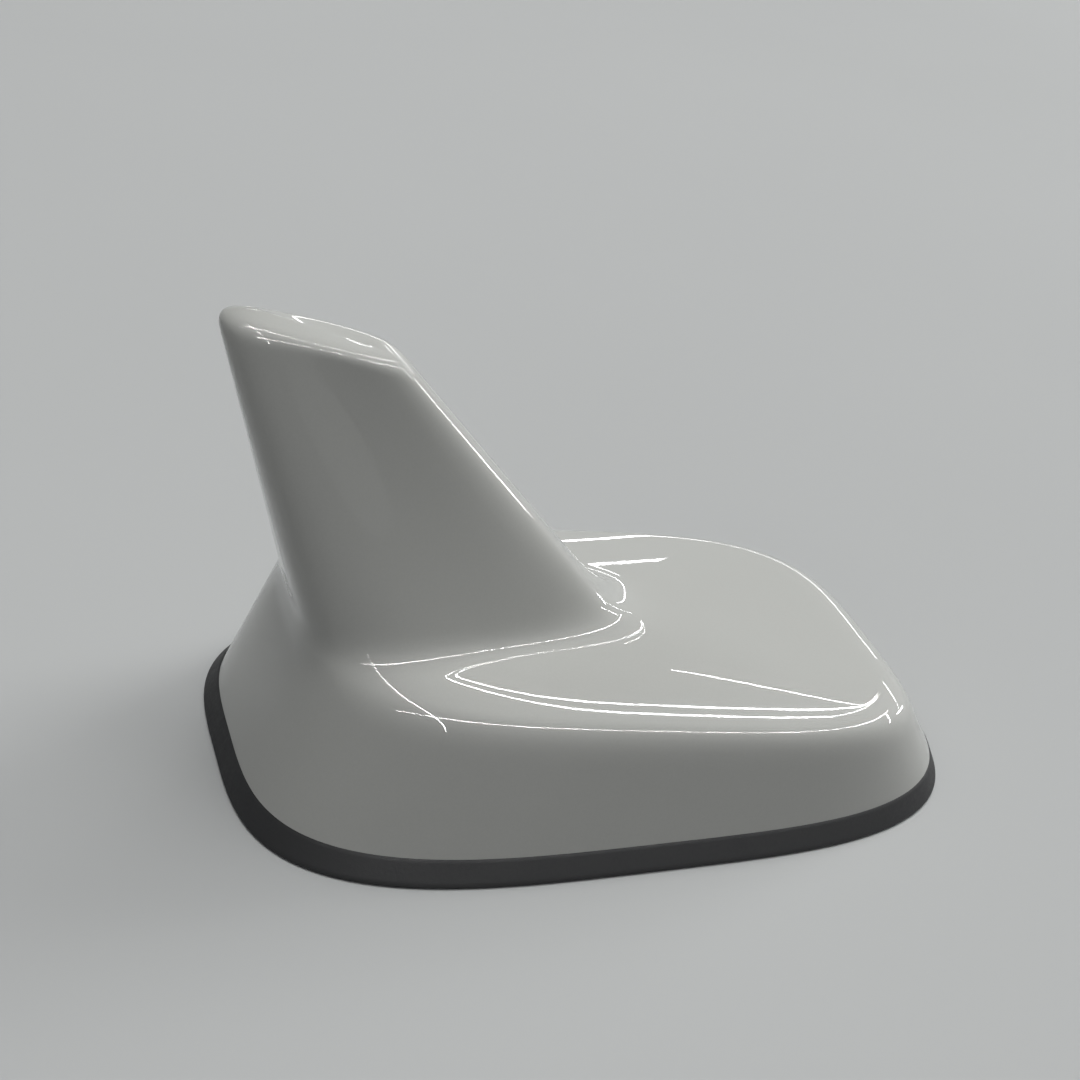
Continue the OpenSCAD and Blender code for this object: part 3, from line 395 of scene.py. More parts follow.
# a point of a ring, a superellipse along a sloping line between its ends
def ovalTree():
    tree, given, result = newTree("oval point", {"Angle": scalar, **ringInputs}, {"Point": vector})
    g = given.outputs
    cosine = addNode(tree, "ShaderNodeMath", {0: g["Angle"]}, operation="COSINE")
    sine = addNode(tree, "ShaderNodeMath", {0: g["Angle"]}, operation="SINE")
    ahead = addNode(tree, "ShaderNodeMath", {0: cosine, 1: 0.5, 2: 0.5}, operation="MULTIPLY_ADD")
    power = addNode(tree, "ShaderNodeMix", {0: ahead, 2: g["Rear Squareness"], 3: g["Front Squareness"]})
    powers = []
    for side in (cosine, sine):
        size = addNode(tree, "ShaderNodeMath", {0: side}, operation="ABSOLUTE")
        powers.append(addNode(tree, "ShaderNodeMath", {0: size, 1: power}, operation="POWER"))
    total = addNode(tree, "ShaderNodeMath", {0: powers[0], 1: powers[1]}, operation="ADD")
    inverse = addNode(tree, "ShaderNodeMath", {0: -1.0, 1: power}, operation="DIVIDE")
    reach = addNode(tree, "ShaderNodeMath", {0: total, 1: inverse}, operation="POWER")
    along = addNode(tree, "ShaderNodeMath", {0: reach, 1: cosine}, operation="MULTIPLY")
    across = addNode(tree, "ShaderNodeMath", {0: reach, 1: sine}, operation="MULTIPLY")
    share = addNode(tree, "ShaderNodeMath", {0: along, 1: 0.5, 2: 0.5}, operation="MULTIPLY_ADD")
    spine = addNode(tree, "ShaderNodeMix", {0: share, 4: g["Rear"], 5: g["Front"]}, data_type="VECTOR")
    flare = addNode(tree, "ShaderNodeMath", {0: along, 1: g["Flare"], 2: 1.0}, operation="MULTIPLY_ADD")
    flared = addNode(tree, "ShaderNodeMath", {0: across, 1: flare}, operation="MULTIPLY")
    width = addNode(tree, "ShaderNodeMath", {0: flared, 1: g["Half Width"]}, operation="MULTIPLY")
    sideways = addNode(tree, "ShaderNodeCombineXYZ", {1: width})
    point = addNode(tree, "ShaderNodeVectorMath", {0: spine.outputs[1], 1: sideways}, operation="ADD")
    tree.links.new(point.outputs[0], result.inputs[0])
    return tree


# a rounding at a corner between two straight lines, of a reach that follows the angle
def cornerTree():
    tree, given, result = newTree("soft corner", {
        "Before": vector, "Corner": vector, "After": vector, "Angle": scalar, "Reach": vector,
        "After Share": scalar, "Softening": scalar, "Step": scalar,
    }, {"Point": vector, "Start": vector, "End": vector})
    g = given.outputs
    cosine = addNode(tree, "ShaderNodeMath", {0: g["Angle"]}, operation="COSINE")
    square = addNode(tree, "ShaderNodeMath", {0: cosine, 1: cosine}, operation="MULTIPLY")
    ahead = addNode(tree, "ShaderNodeMath", {0: cosine, 1: 0.0}, operation="GREATER_THAN")
    parts = addNode(tree, "ShaderNodeSeparateXYZ", {0: g["Reach"]})
    end = addNode(tree, "ShaderNodeMix", {0: ahead, 2: parts.outputs[2], 3: parts.outputs[0]})
    wanted = addNode(tree, "ShaderNodeMix", {0: square, 2: parts.outputs[1], 3: end})
    arms = {}
    for side, share in (("Before", 0.5), ("After", g["After Share"])):
        arm = addNode(tree, "ShaderNodeVectorMath", {0: g[side], 1: g["Corner"]}, operation="SUBTRACT")
        length = addNode(tree, "ShaderNodeVectorMath", {0: arm}, operation="LENGTH")
        limit = addNode(tree, "ShaderNodeMath", {0: length.outputs[1], 1: share}, operation="MULTIPLY")
        unit = addNode(tree, "ShaderNodeVectorMath", {0: arm}, operation="NORMALIZE")
        arms[side] = (unit, limit)
    limit = addNode(tree, "ShaderNodeMath",
                    {0: arms["Before"][1], 1: arms["After"][1]}, operation="MINIMUM")
    eased = addNode(tree, "ShaderNodeMath",
                    {0: wanted, 1: limit, 2: g["Softening"]}, operation="SMOOTH_MIN")
    # a rounding never reaches less than a tenth of a millimetre
    reach = addNode(tree, "ShaderNodeMath", {0: eased, 1: 0.1 * mm}, operation="MAXIMUM")
    remaining = addNode(tree, "ShaderNodeMath", {0: 1.0, 1: g["Step"]}, operation="SUBTRACT")
    pulls = []
    # weight of each arm: s^3 (2 - s), with s the step towards that arm
    for side, step, name in (("Before", remaining, "Start"), ("After", g["Step"], "End")):
        cube = addNode(tree, "ShaderNodeMath", {0: step, 1: 3.0}, operation="POWER")
        ease = addNode(tree, "ShaderNodeMath", {0: 2.0, 1: step}, operation="SUBTRACT")
        weight = addNode(tree, "ShaderNodeMath", {0: cube, 1: ease}, operation="MULTIPLY")
        full = addNode(tree, "ShaderNodeVectorMath",
                       {0: arms[side][0], "Scale": reach}, operation="SCALE")
        pulls.append(addNode(tree, "ShaderNodeVectorMath",
                             {0: full, "Scale": weight}, operation="SCALE"))
        tip = addNode(tree, "ShaderNodeVectorMath", {0: g["Corner"], 1: full}, operation="ADD")
        tree.links.new(tip.outputs[0], result.inputs[name])
    sway = addNode(tree, "ShaderNodeVectorMath", {0: pulls[0], 1: pulls[1]}, operation="ADD")
    point = addNode(tree, "ShaderNodeVectorMath", {0: g["Corner"], 1: sway}, operation="ADD")
    tree.links.new(point.outputs[0], result.inputs["Point"])
    return tree


# the skin: four rings, three soft corners between them, and the ridge on top
def skinTree(oval, corner, rows):
    rings = ("Foot", "Shoulder", "Root", "Crown")
    inputs = {"Columns": "Int", "Material": "Material"}
    inputs.update({f"{ring} {word}": kind for ring in rings for word, kind in ringInputs.items()})
    inputs.update({"Shoulder Reach": vector, "Root Reach": vector, "Crown Reach": vector,
                   "Softening": scalar, "Foot Lift": scalar, "Ridge Share": scalar,
                   "Ridge Rise": scalar})
    tree, given, result = newTree("cover skin", inputs, {"Mesh": "Geometry"})
    g = given.outputs
    grid, spot, angle = roundGrid(tree, g["Columns"], sum(rows) + 1)
    row = addNode(tree, "ShaderNodeMath",
                  {0: spot.outputs[1], 1: float(sum(rows)), 2: sum(rows) / 2}, operation="MULTIPLY_ADD")
    ringPoint = {}
    for ring in rings:
        values = {word: g[f"{ring} {word}"] for word in ringInputs}
        ringPoint[ring] = addNode(tree, "GeometryNodeGroup", {"Angle": angle, **values},
                                  node_tree=oval)
    # the inner skin starts above the foot, on the line to the shoulder
    heights = [addNode(tree, "ShaderNodeSeparateXYZ", {0: ringPoint[ring]}) for ring in rings]
    wallHeight = addNode(tree, "ShaderNodeMath",
                         {0: heights[1].outputs[2], 1: heights[0].outputs[2]}, operation="SUBTRACT")
    lift = addNode(tree, "ShaderNodeMath", {0: g["Foot Lift"], 1: wallHeight}, operation="DIVIDE")
    start = addNode(tree, "ShaderNodeMix",
                    {0: lift, 4: ringPoint["Foot"], 5: ringPoint["Shoulder"]}, data_type="VECTOR")
    # the ridge is the crown's points, drawn in to the middle plane and lifted
    middle = addNode(tree, "ShaderNodeMix",
                     {0: 0.5, 4: g["Crown Rear"], 5: g["Crown Front"]}, data_type="VECTOR")
    drawn = addNode(tree, "ShaderNodeMix", {
        0: g["Ridge Share"], 4: middle.outputs[1], 5: ringPoint["Crown"]}, data_type="VECTOR")
    drawnSpot = addNode(tree, "ShaderNodeSeparateXYZ", {0: drawn.outputs[1]})
    top = addNode(tree, "ShaderNodeMath",
                  {0: heights[3].outputs[2], 1: g["Ridge Rise"]}, operation="ADD")
    ridge = addNode(tree, "ShaderNodeCombineXYZ", {0: drawnSpot, 2: top})
    # a step from 0 to 1 in each zone of rows
    starts = [sum(rows[:i]) for i in range(len(rows))]
    steps = [addNode(tree, "ShaderNodeMapRange",
                     {0: row, 1: float(low), 2: float(low + count), 3: 0.0, 4: 1.0})
             for low, count in zip(starts, rows)]
    chain = [start.outputs[1]] + [ringPoint[ring].outputs[0] for ring in rings[1:]] + [ridge.outputs[0]]
    corners = []
    for i, ring in enumerate(rings[1:]):
        corners.append(addNode(tree, "GeometryNodeGroup", {
            "Before": chain[i], "Corner": chain[i + 1], "After": chain[i + 2], "Angle": angle,
            "Reach": g[ring + " Reach"], "After Share": cover["crownShare"] if ring == "Crown" else 0.5,
            "Softening": g["Softening"], "Step": steps[2 * i + 1]}, node_tree=corner))
    ends = [chain[0]] + [turning.outputs["End"] for turning in corners]
    begins = [turning.outputs["Start"] for turning in corners] + [chain[4]]
    stretches = [addNode(tree, "ShaderNodeMix", {0: steps[2 * i], 4: ends[i], 5: begins[i]},
                         data_type="VECTOR").outputs[1] for i in range(4)]
    zones = [stretches[0]]
    for turning, stretch in zip(corners, stretches[1:]):
        zones += [turning.outputs["Point"], stretch]
    current = zones[0]
    # at the row where two zones meet, the lower one gives the place
    for low, zone in zip(starts[1:], zones[1:]):
        past = addNode(tree, "ShaderNodeMath", {0: row, 1: low + 0.01}, operation="GREATER_THAN")
        current = addNode(tree, "ShaderNodeMix",
                          {0: past, 4: current, 5: zone}, data_type="VECTOR").outputs[1]
    return endTree(tree, given, result, wrapGrid(tree, grid, current))


# how a ring is given to the skin, with its ends, sides and height drawn in
def ringValues(name, shifts, inset, drop):
    ring, word = cover[name], name.capitalize()
    values = {word + " Half Width": (ring["halfWidth"] - inset) * mm,
              word + " Flare": float(ring["flare"])}
    for i, (side, sign) in enumerate((("Front", -1), ("Rear", 1))):
        values[f"{word} {side}"] = ((ring["ends"][i] + sign * shifts[i]) * mm, 0,
                                    (ring["heights"][i] - drop) * mm)
        values[f"{word} {side} Squareness"] = float(ring["squareness"][i])
    return values


# the sizes of a skin that lies some distance inside the outer one
def skinValues(inset, columns):
    root, crown = cover["root"], cover["crown"]
    values = {"Columns": columns, "Softening": cover["softening"] * mm,
              "Material": finishes["clear-coated grey paint"]}
    # the fin's edges lean, which changes how far a level ring's end stands in
    leaning = []
    for i, sign in enumerate((-1, 1)):
        lean = math.atan2(root["ends"][i] - crown["ends"][i], crown["heights"][i] - root["heights"][i])
        leaning.append(inset * (1 + sign * math.sin(lean)) / math.cos(lean))
    values.update(ringValues("foot", (inset, inset), inset, 0))
    values.update(ringValues("shoulder", (inset, inset), inset, inset))
    values.update(ringValues("root", leaning, inset, inset))
    values.update(ringValues("crown", leaning, inset, inset))
    for name, sign in (("shoulder", -1), ("root", 1), ("crown", -1)):
        values[name.capitalize() + " Reach"] = [
            (reach + sign * cover["reachPerWall"] * inset) * mm for reach in cover[name]["reach"]]
    half = (crown["ends"][0] - leaning[0] - crown["ends"][1] - leaning[1]) / 2
    values["Ridge Share"] = (half - crown["halfWidth"] + inset) / half
    values["Ridge Rise"] = cover["crownRise"] * mm
    values["Foot Lift"] = (cover["rimHeight"] + cover["rimSlope"]) * mm if inset else 0.0
    return values


oval, corner = ovalTree(), cornerTree()
outerSkin = growPiece("outerSkin", skinTree(oval, corner, cover["outerRows"]),
                      skinValues(0, cover["outerColumns"]))
innerSkin = growPiece("innerSkin", skinTree(oval, corner, cover["innerRows"]),
                      skinValues(cover["wall"], cover["innerColumns"]))
print("cover skins", len(outerSkin.data.polygons), len(innerSkin.data.polygons))


# a line of points as an object that a tree reads
def pointLine(name, points):
    mesh = bpy.data.meshes.new(name)
    mesh.from_pydata(points, [(i, i + 1) for i in range(len(points) - 1)], [])
    line = bpy.data.objects.new(name, mesh)
    scene.collection.objects.link(line)
    return line


# a grid with a row for each point of the profile, and that point's three numbers
def profileGrid(tree, given):
    profile = addNode(tree, "GeometryNodeObjectInfo", {"Object": given.outputs["Profile"]})
    profileMesh = profile.outputs["Geometry"]
    count = addNode(tree, "GeometryNodeAttributeDomainSize", {"Geometry": profileMesh})
    grid, spot, angle = roundGrid(tree, given.outputs["Columns"], count)
    last = addNode(tree, "ShaderNodeMath", {0: count, 1: 1.0}, operation="SUBTRACT")
    along = addNode(tree, "ShaderNodeMath", {0: spot.outputs[1], 1: 0.5}, operation="ADD")
    row = addNode(tree, "ShaderNodeMath", {0: along, 1: last}, operation="MULTIPLY")
    whole = addNode(tree, "ShaderNodeMath", {0: row}, operation="ROUND")
    sampled = addNode(tree, "GeometryNodeSampleIndex",
                      {"Geometry": profileMesh, "Value": addNode(tree, "GeometryNodeInputPosition"),
                       "Index": whole}, data_type="FLOAT_VECTOR", domain="POINT")
    return grid, spot, angle, addNode(tree, "ShaderNodeSeparateXYZ", {0: sampled})


# the outline in mm of the base plate's neck, which the gasket fits round
neck = {"ends": (27, -8), "width": 17, "squareness": 6.0}


# a band that follows an outline, for the cover's rim and the gasket. Each point of its profile is
# (inset from the outline, height, 0 for the foot's outline or 1 for the neck's).
def bandTree(oval):
    tree, given, result = newTree("swept band", {
        "Profile": "Object", "Columns": "Int", "Foot Front": vector, "Foot Rear": vector,
        "Foot Half Width": scalar, "Foot Squareness": scalar, "Neck Front": vector, "Neck Rear": vector,
        "Neck Half Width": scalar, "Neck Squareness": scalar, "Material": "Material"},
        {"Mesh": "Geometry"})
    g = given.outputs
    grid, _, angle, step = profileGrid(tree, given)
    inward = addNode(tree, "ShaderNodeCombineXYZ", {0: step})
    points = {}
    for name in ("Foot", "Neck"):
        front = addNode(tree, "ShaderNodeVectorMath",
                        {0: g[name + " Front"], 1: inward}, operation="SUBTRACT")
        back = addNode(tree, "ShaderNodeVectorMath", {0: g[name + " Rear"], 1: inward}, operation="ADD")
        half = addNode(tree, "ShaderNodeMath",
                       {0: g[name + " Half Width"], 1: step}, operation="SUBTRACT")
        points[name] = addNode(tree, "GeometryNodeGroup", {
            "Angle": angle, "Rear": back, "Front": front, "Half Width": half,
            "Front Squareness": g[name + " Squareness"], "Rear Squareness": g[name + " Squareness"]},
            node_tree=oval)
    flat = addNode(tree, "ShaderNodeMix",
                   {0: step.outputs[2], 4: points["Foot"], 5: points["Neck"]}, data_type="VECTOR")
    height = addNode(tree, "ShaderNodeCombineXYZ", {2: step.outputs[1]})
    raised = addNode(tree, "ShaderNodeVectorMath", {0: flat.outputs[1], 1: height}, operation="ADD")
    return endTree(tree, given, result, wrapGrid(tree, grid, raised))


# a band from profile points in mm; a fourth number rounds the corner by that reach
def sweepBand(name, profile, material, closed=True):
    steps = 6
    points = []
    for i, point in enumerate(profile):
        spot = Vector(point[:3])
        if len(point) < 4:
            points.append(spot)
            continue
        before = (Vector(profile[i - 1][:3]) - spot).normalized() * point[3]
        after = (Vector(profile[(i + 1) % len(profile)][:3]) - spot).normalized() * point[3]
        points += [spot + before * (1 - j / steps) ** 2 + after * (j / steps) ** 2
                   for j in range(steps + 1)]
    if closed:
        points.append(points[0])
    line = pointLine(name + "Profile", [(p.x * mm, p.y * mm, p.z) for p in points])
    foot = cover["foot"]
    band = growPiece(name, sweptBand, {
        "Profile": line, "Columns": cover["outerColumns"], "Material": finishes[material],
        "Foot Front": (foot["ends"][0] * mm, 0, 0), "Foot Rear": (foot["ends"][1] * mm, 0, 0),
        "Foot Half Width": foot["halfWidth"] * mm, "Foot Squareness": foot["squareness"][0],
        "Neck Front": (neck["ends"][0] * mm, 0, 0), "Neck Rear": (neck["ends"][1] * mm, 0, 0),
        "Neck Half Width": neck["width"] / 2 * mm, "Neck Squareness": neck["squareness"]})
    bpy.data.objects.remove(line)
    return band


sweptBand = bandTree(oval)
# the cover's rim in mm, from the foot's outline inwards to the tongue that sits in the seal groove
rim = {"lip": 1.0, "land": 0.9, "gap": 0.3, "tongue": 1.5, "tongueDrop": 0.8}
footHeight = cover["foot"]["heights"][0]
tongueOut = rim["lip"] + rim["land"] + rim["gap"]
tongueIn = tongueOut + rim["tongue"]
tongueLow = footHeight - rim["tongueDrop"]
rimTop = footHeight + cover["rimHeight"]
rimBand = sweepBand("rimBand", [
    (0, footHeight, 0), (tongueOut, footHeight, 0), (tongueOut, tongueLow, 0), (tongueIn, tongueLow, 0),
    (tongueIn, rimTop, 0)], "clear-coated grey paint", closed=False)
# the inner skin's lower edge and the rim's inner edge are the only open ones, and both are below this
coverShell = weld("coverShell", [outerSkin, innerSkin, rimBand],
                  bridgeBelow=(rimTop + cover["rimSlope"] + 1) * mm)

gasket = {
    "height": 4, "pad": 1.6, "out": 2, "lip": 0.85, "neckGap": 0.15, "neckEdge": 0.15,
    "groove": 0.5, "neckGroove": (-2.5, -4.5), "footGroove": (7.5, 5),
    # up the side that shows: distance in from the widest line, height, rounding
    "side": ((0.3, 0, 0.2), (0, 0.4, 0.3), (0.15, 0.95, 0.3), (1.7, 3.7, 0.25), (2, 4, 0.12)),
}


# round the gasket's section: along the foot with its two grooves, up the side, and back over the pad
def gasketProfile():
    points = [(-gasket["neckGap"], 0, 1, gasket["neckEdge"])]
    for line, (start, end) in ((1, gasket["neckGroove"]), (0, gasket["footGroove"])):
        points += [(start, 0, line), (start, gasket["groove"], line),
                   (end, gasket["groove"], line), (end, 0, line)]
    points += [(inward - gasket["out"], height, 0, rounding)
               for inward, height, rounding in gasket["side"]]
    return points + [(gasket["lip"], gasket["height"], 0), (gasket["lip"], gasket["pad"], 0),
                     (-gasket["neckGap"], gasket["pad"], 1)]


roofGasket = weld("roofGasket", [sweepBand("gasketBand", gasketProfile(), "moulded EPDM rubber")])
print("cover and gasket welded", len(coverShell.data.polygons), len(roofGasket.data.polygons))


# a turned part: a profile line of (radius, thread share, height) spun round the Z axis, with a thread
# cut into it where the share is above 0
def turnedTree():
    tree, given, result = newTree("turned part", {
        "Profile": "Object", "Columns": "Int", "Thread Pitch": scalar, "Thread Depth": scalar,
        "Crest End": scalar, "Root Start": scalar, "Material": "Material"}, {"Mesh": "Geometry"})
    g = given.outputs
    grid, spot, angle, step = profileGrid(tree, given)
    turns = addNode(tree, "ShaderNodeMath",
                    {0: step.outputs[2], 1: g["Thread Pitch"]}, operation="DIVIDE")
    phase = addNode(tree, "ShaderNodeMath", {0: turns, 1: spot}, operation="SUBTRACT")
    zigzag = addNode(tree, "ShaderNodeMath", {0: phase, 1: 0.5}, operation="PINGPONG")
    groove = addNode(tree, "ShaderNodeMapRange",
                     {0: zigzag, 1: g["Crest End"], 2: g["Root Start"], 3: 0.0, 4: 1.0})
    depth = addNode(tree, "ShaderNodeMath", {0: groove, 1: g["Thread Depth"]}, operation="MULTIPLY")
    cut = addNode(tree, "ShaderNodeMath", {0: depth, 1: step.outputs[1]}, operation="MULTIPLY")
    radius = addNode(tree, "ShaderNodeMath", {0: step, 1: cut}, operation="SUBTRACT")
    flatPoint = addNode(tree, "ShaderNodeCombineXYZ", {0: radius, 2: step.outputs[2]})
    turned = addNode(tree, "ShaderNodeVectorRotate",
                     {"Vector": flatPoint, "Angle": angle}, rotation_type="Z_AXIS")
    return endTree(tree, given, result, wrapGrid(tree, grid, turned))


plain = {"pitch": 1.0, "depth": 0.0, "crestEnd": 0.0, "rootStart": 0.5}


# a turned part from points of (radius, height, thread share) in mm
def turnPart(name, points, columns, material, thread=plain):
    line = pointLine(name + "Profile", [
        (point[0] * mm, point[2] if len(point) > 2 else 0, point[1] * mm) for point in points])
    part = growPiece(name, turnedPart, {
        "Profile": line, "Columns": columns, "Thread Pitch": thread["pitch"] * mm,
        "Thread Depth": thread["depth"] * mm, "Crest End": thread["crestEnd"],
        "Root Start": thread["rootStart"], "Material": finishes[material]})
    bpy.data.objects.remove(line)
    return part


turnedPart = turnedTree()
stud = {
    "radius": 4, "pilot": 3, "pilotLength": 4, "edge": 0.5, "low": -18, "headLow": 0.8, "headTop": 4,
    "headFlats": 13, "headEdge": 0.3, "threadTop": -1, "pitch": 1.25, "depth": 0.72,
    # where the thread's crest ends and its root starts, in turns from the crest's middle
    "crestEnd": 0.06, "rootStart": 0.42,
    "rowsPerTurn": 12, "runOut": 8, "columns": 64,
}


# rolled M8 thread between a plain neck and the pilot end
def studProfile():
    low, edge, radius = stud["low"], stud["edge"], stud["radius"]
    shankLow = low + stud["pilotLength"] + 2 * edge
    points = [(0, low), (stud["pilot"] - edge, low), (stud["pilot"], low + edge),
              (stud["pilot"], shankLow - edge), (radius - edge, shankLow - edge)]
    rows = int((stud["threadTop"] - shankLow) / stud["pitch"] * stud["rowsPerTurn"])
    for i in range(rows + 1):
        share = min(1, i / stud["runOut"], (rows - i) / stud["runOut"])
        points.append((radius, shankLow + (stud["threadTop"] - shankLow) * i / rows, share))
    return points + [(radius, stud["headLow"]), (0, stud["headLow"])]


# the head's six corners stand out from its flats
def headProfile():
    corner, low, top = stud["headFlats"] / 2 / math.cos(math.pi / 6), stud["headLow"], stud["headTop"]
    edge = stud["headEdge"]
    return [(0, low), (corner - edge, low), (corner, low + edge), (corner, top - edge),
            (corner - edge, top), (0, top)]


threadedStud = weld("threadedStud", [
    turnPart("studShank", studProfile(), stud["columns"], "zinc-plated steel", thread=stud),
    turnPart("studHead", headProfile(), 6, "zinc-plated steel")], sharpAngle=28)
print("stud", len(threadedStud.data.polygons))


# the loading coil is drawn wire on a helix, with straight ends that stand in the board's window
coil = {
    "middleX": -44.97, "radius": 3, "wire": 0.8, "turns": 8, "low": 40.5, "height": 12, "end": 0.6,
    "gap": 1.5, "stepsPerTurn": 48, "wireSides": 12,
}


def coilTree():
    tree, given, result = newTree("wire coil", {
        "Turns": scalar, "Radius": scalar, "Height": scalar, "Wire Radius": scalar, "Tail": scalar,
        "Steps": "Int", "Sides": "Int", "Middle": vector, "Material": "Material"}, {"Mesh": "Geometry"})
    g = given.outputs
    spiral = addNode(tree, "GeometryNodeCurveSpiral", {
        "Resolution": g["Steps"], "Rotations": g["Turns"], "Start Radius": g["Radius"],
        "End Radius": g["Radius"], "Height": g["Height"], "Reverse": False})
    wire = addNode(tree, "GeometryNodeCurvePrimitiveCircle",
                   {"Resolution": g["Sides"], "Radius": g["Wire Radius"]})
    tailBack = addNode(tree, "ShaderNodeMath", {0: g["Tail"], 1: -1.0}, operation="MULTIPLY")
    top = addNode(tree, "ShaderNodeMath", {0: g["Height"], 1: g["Tail"]}, operation="ADD")
    paths = [spiral]
    for low, high in ((tailBack, 0.0), (g["Height"], top)):
        start = addNode(tree, "ShaderNodeCombineXYZ", {0: g["Radius"], 2: low})
        end = addNode(tree, "ShaderNodeCombineXYZ", {0: g["Radius"], 2: high})
        paths.append(addNode(tree, "GeometryNodeCurvePrimitiveLine", {"Start": start, "End": end}))
    joined = addNode(tree, "GeometryNodeJoinGeometry")
    for path in paths:
        tube = addNode(tree, "GeometryNodeCurveToMesh",
                       {"Curve": path, "Profile Curve": wire, "Fill Caps": True})
        tree.links.new(tube.outputs[0], joined.inputs[0])
    placed = addNode(tree, "GeometryNodeTransform", {"Geometry": joined, "Translation": g["Middle"]})
    smooth = addNode(tree, "GeometryNodeSetShadeSmooth", {"Geometry": placed})
    return endTree(tree, given, result, smooth)


wireCoil = growPiece("wireCoil", coilTree(), {
    "Turns": float(coil["turns"]), "Radius": coil["radius"] * mm,
    "Height": (coil["height"] - 2 * coil["end"]) * mm, "Wire Radius": coil["wire"] / 2 * mm,
    "Tail": coil["gap"] * mm, "Steps": coil["stepsPerTurn"], "Sides": coil["wireSides"],
    "Middle": (coil["middleX"] * mm, 0, (coil["low"] + coil["end"]) * mm),
    "Material": finishes["enamelled copper"]})
print("coil", len(wireCoil.data.polygons))


# pressed, moulded and machined parts get the small edge radii, in mm, that catch the light
edgeRadii = {"claw_plate": 0.25, "hex_nut": 0.15, "socket_block": 0.15, "retaining_clips": 0.06}
# angles in degrees: under the first, faces are one flat; from the second, an edge is rounded; from the
# third, shading breaks
edgeWork = {"flatWithin": 1, "roundFrom": 35, "sharpFrom": 30, "segments": 2}


def softenEdges(nodeName, radius):
    shape = bmesh.new()
    shape.from_mesh(cadNodes[nodeName].data)
    bmesh.ops.remove_doubles(shape, verts=shape.verts, dist=joinWithin)
    bmesh.ops.dissolve_limit(shape, angle_limit=math.radians(edgeWork["flatWithin"]),
                             verts=shape.verts, edges=shape.edges)
    mesh = bpy.data.meshes.new(nodeName + "Soft")
    shape.to_mesh(mesh)
    shape.free()
    first, *others = nodeName.split("_")
    piece = bpy.data.objects.new(first + "".join(word.capitalize() for word in others), mesh)
    scene.collection.objects.link(piece)
    bevel = piece.modifiers.new("edge radius", "BEVEL")
    bevel.width = radius * mm
    bevel.segments = edgeWork["segments"]
    bevel.limit_method = "ANGLE"
    bevel.angle_limit = math.radians(edgeWork["roundFrom"])
    bevel.use_clamp_overlap = True
    depsgraph = bpy.context.evaluated_depsgraph_get()
    piece.data = bpy.data.meshes.new_from_object(piece.evaluated_get(depsgraph))
    piece.modifiers.clear()
    wearOnly(piece, finishes[nodeFinish[nodeName]])
    piece.data.shade_smooth()
    piece.data.set_sharp_from_angle(angle=math.radians(edgeWork["sharpFrom"]))
    return piece


softPieces = {nodeName: softenEdges(nodeName, radius) for nodeName, radius in edgeRadii.items()}
print("edges softened on", len(softPieces), "parts")

for piece, node, slotName in (
        (coverShell, "cover_shell", "cover_paint"),
        (roofGasket, "roof_gasket", "gasket_rubber"),
        (threadedStud, "mounting_stud", "zinc_steel"),
        (wireCoil, "loading_coil", "copper_wire"),
        (softPieces["claw_plate"], "claw_plate", "zinc_steel"),
        (softPieces["hex_nut"], "hex_nut", "zinc_steel"),
        (softPieces["socket_block"], "socket_block", "black_nylon"),
        (softPieces["retaining_clips"], "retaining_clips", "spring_steel")):
    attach(piece, "root")
    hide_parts(node)
print("pieces ride the root body")


# pale floor under the gasket, a pale backdrop for what the camera and mirrors see, and a dim sky for the
# rest. The opening's inset and the cloud are in mm.
stage = {
    "floorSize": 3.2, "openingInset": 0.6, "openingSteps": 96, "floor": "#c0c2c1", "bounce": "#606262",
    "cloud": 300.0, "cloudDim": 0.97, "backdrop": "#b8bab9", "ambient": 0.12, "skyTint": "#f5f5fd",
}
# soft lamps: place, size and power
softLamps = {
    "overhead": ((0.0, 0.2, 2.4), 1.6, 39.0),
    "ahead": ((2.3, 0.7, 0.8), 1.2, 37.0),
    "near side": ((-1.4, -1.95, 0.5), 1.2, 7.0),
}
# tubes, which the clear coat mirrors: the two ends, width and radiance
tubes = {
    "twin left": ((-1.14, -1.48, 1.5), (2.73, 2.0, 1.5), 0.005, 70.0),
    "twin right": ((-1.11, -1.51, 1.5), (2.76, 1.97, 1.5), 0.005, 70.0),
    "middle": ((1.40, 1.07, 1.5), (2.47, 1.68, 1.5), 0.005, 60.0),
    "near": ((-0.8, -2.9, 1.5), (3.4, 1.2, 1.5), 0.02, 80.0),
    "cross": ((0.13, -6.2, 1.5), (0.13, -0.2, 1.5), 0.015, 80.0),
    "low": ((6.3, 4.9, 0.4), (2.5, 7.6, 0.4), 0.1, 15.0),
    "gate": ((2.9, 5.15, 1.25), (3.35, 4.85, 1.25), 0.06, 14.0),
    "leading edge": ((3.8, 0.81, 0.82), (3.7, 1.43, 0.13), 0.1, 32.0),
    "nose": ((2.66, 0.66, 1.22), (2.91, -0.1, 0.73), 0.05, 32.0),
    "nose tip": ((3.1, 2.25, 1.17), (3.78, 1.16, 0.63), 0.03, 25.0),
}


# is this ray one that shows the backdrop: from the camera, a reflection or glass
def shownRays(tree):
    path = addNode(tree, "ShaderNodeLightPath")
    direct = addNode(tree, "ShaderNodeMath", {
        0: path.outputs["Is Camera Ray"], 1: path.outputs["Is Glossy Ray"]}, operation="MAXIMUM")
    return addNode(tree, "ShaderNodeMath", {
        0: direct, 1: path.outputs["Is Transmission Ray"]}, operation="MAXIMUM")


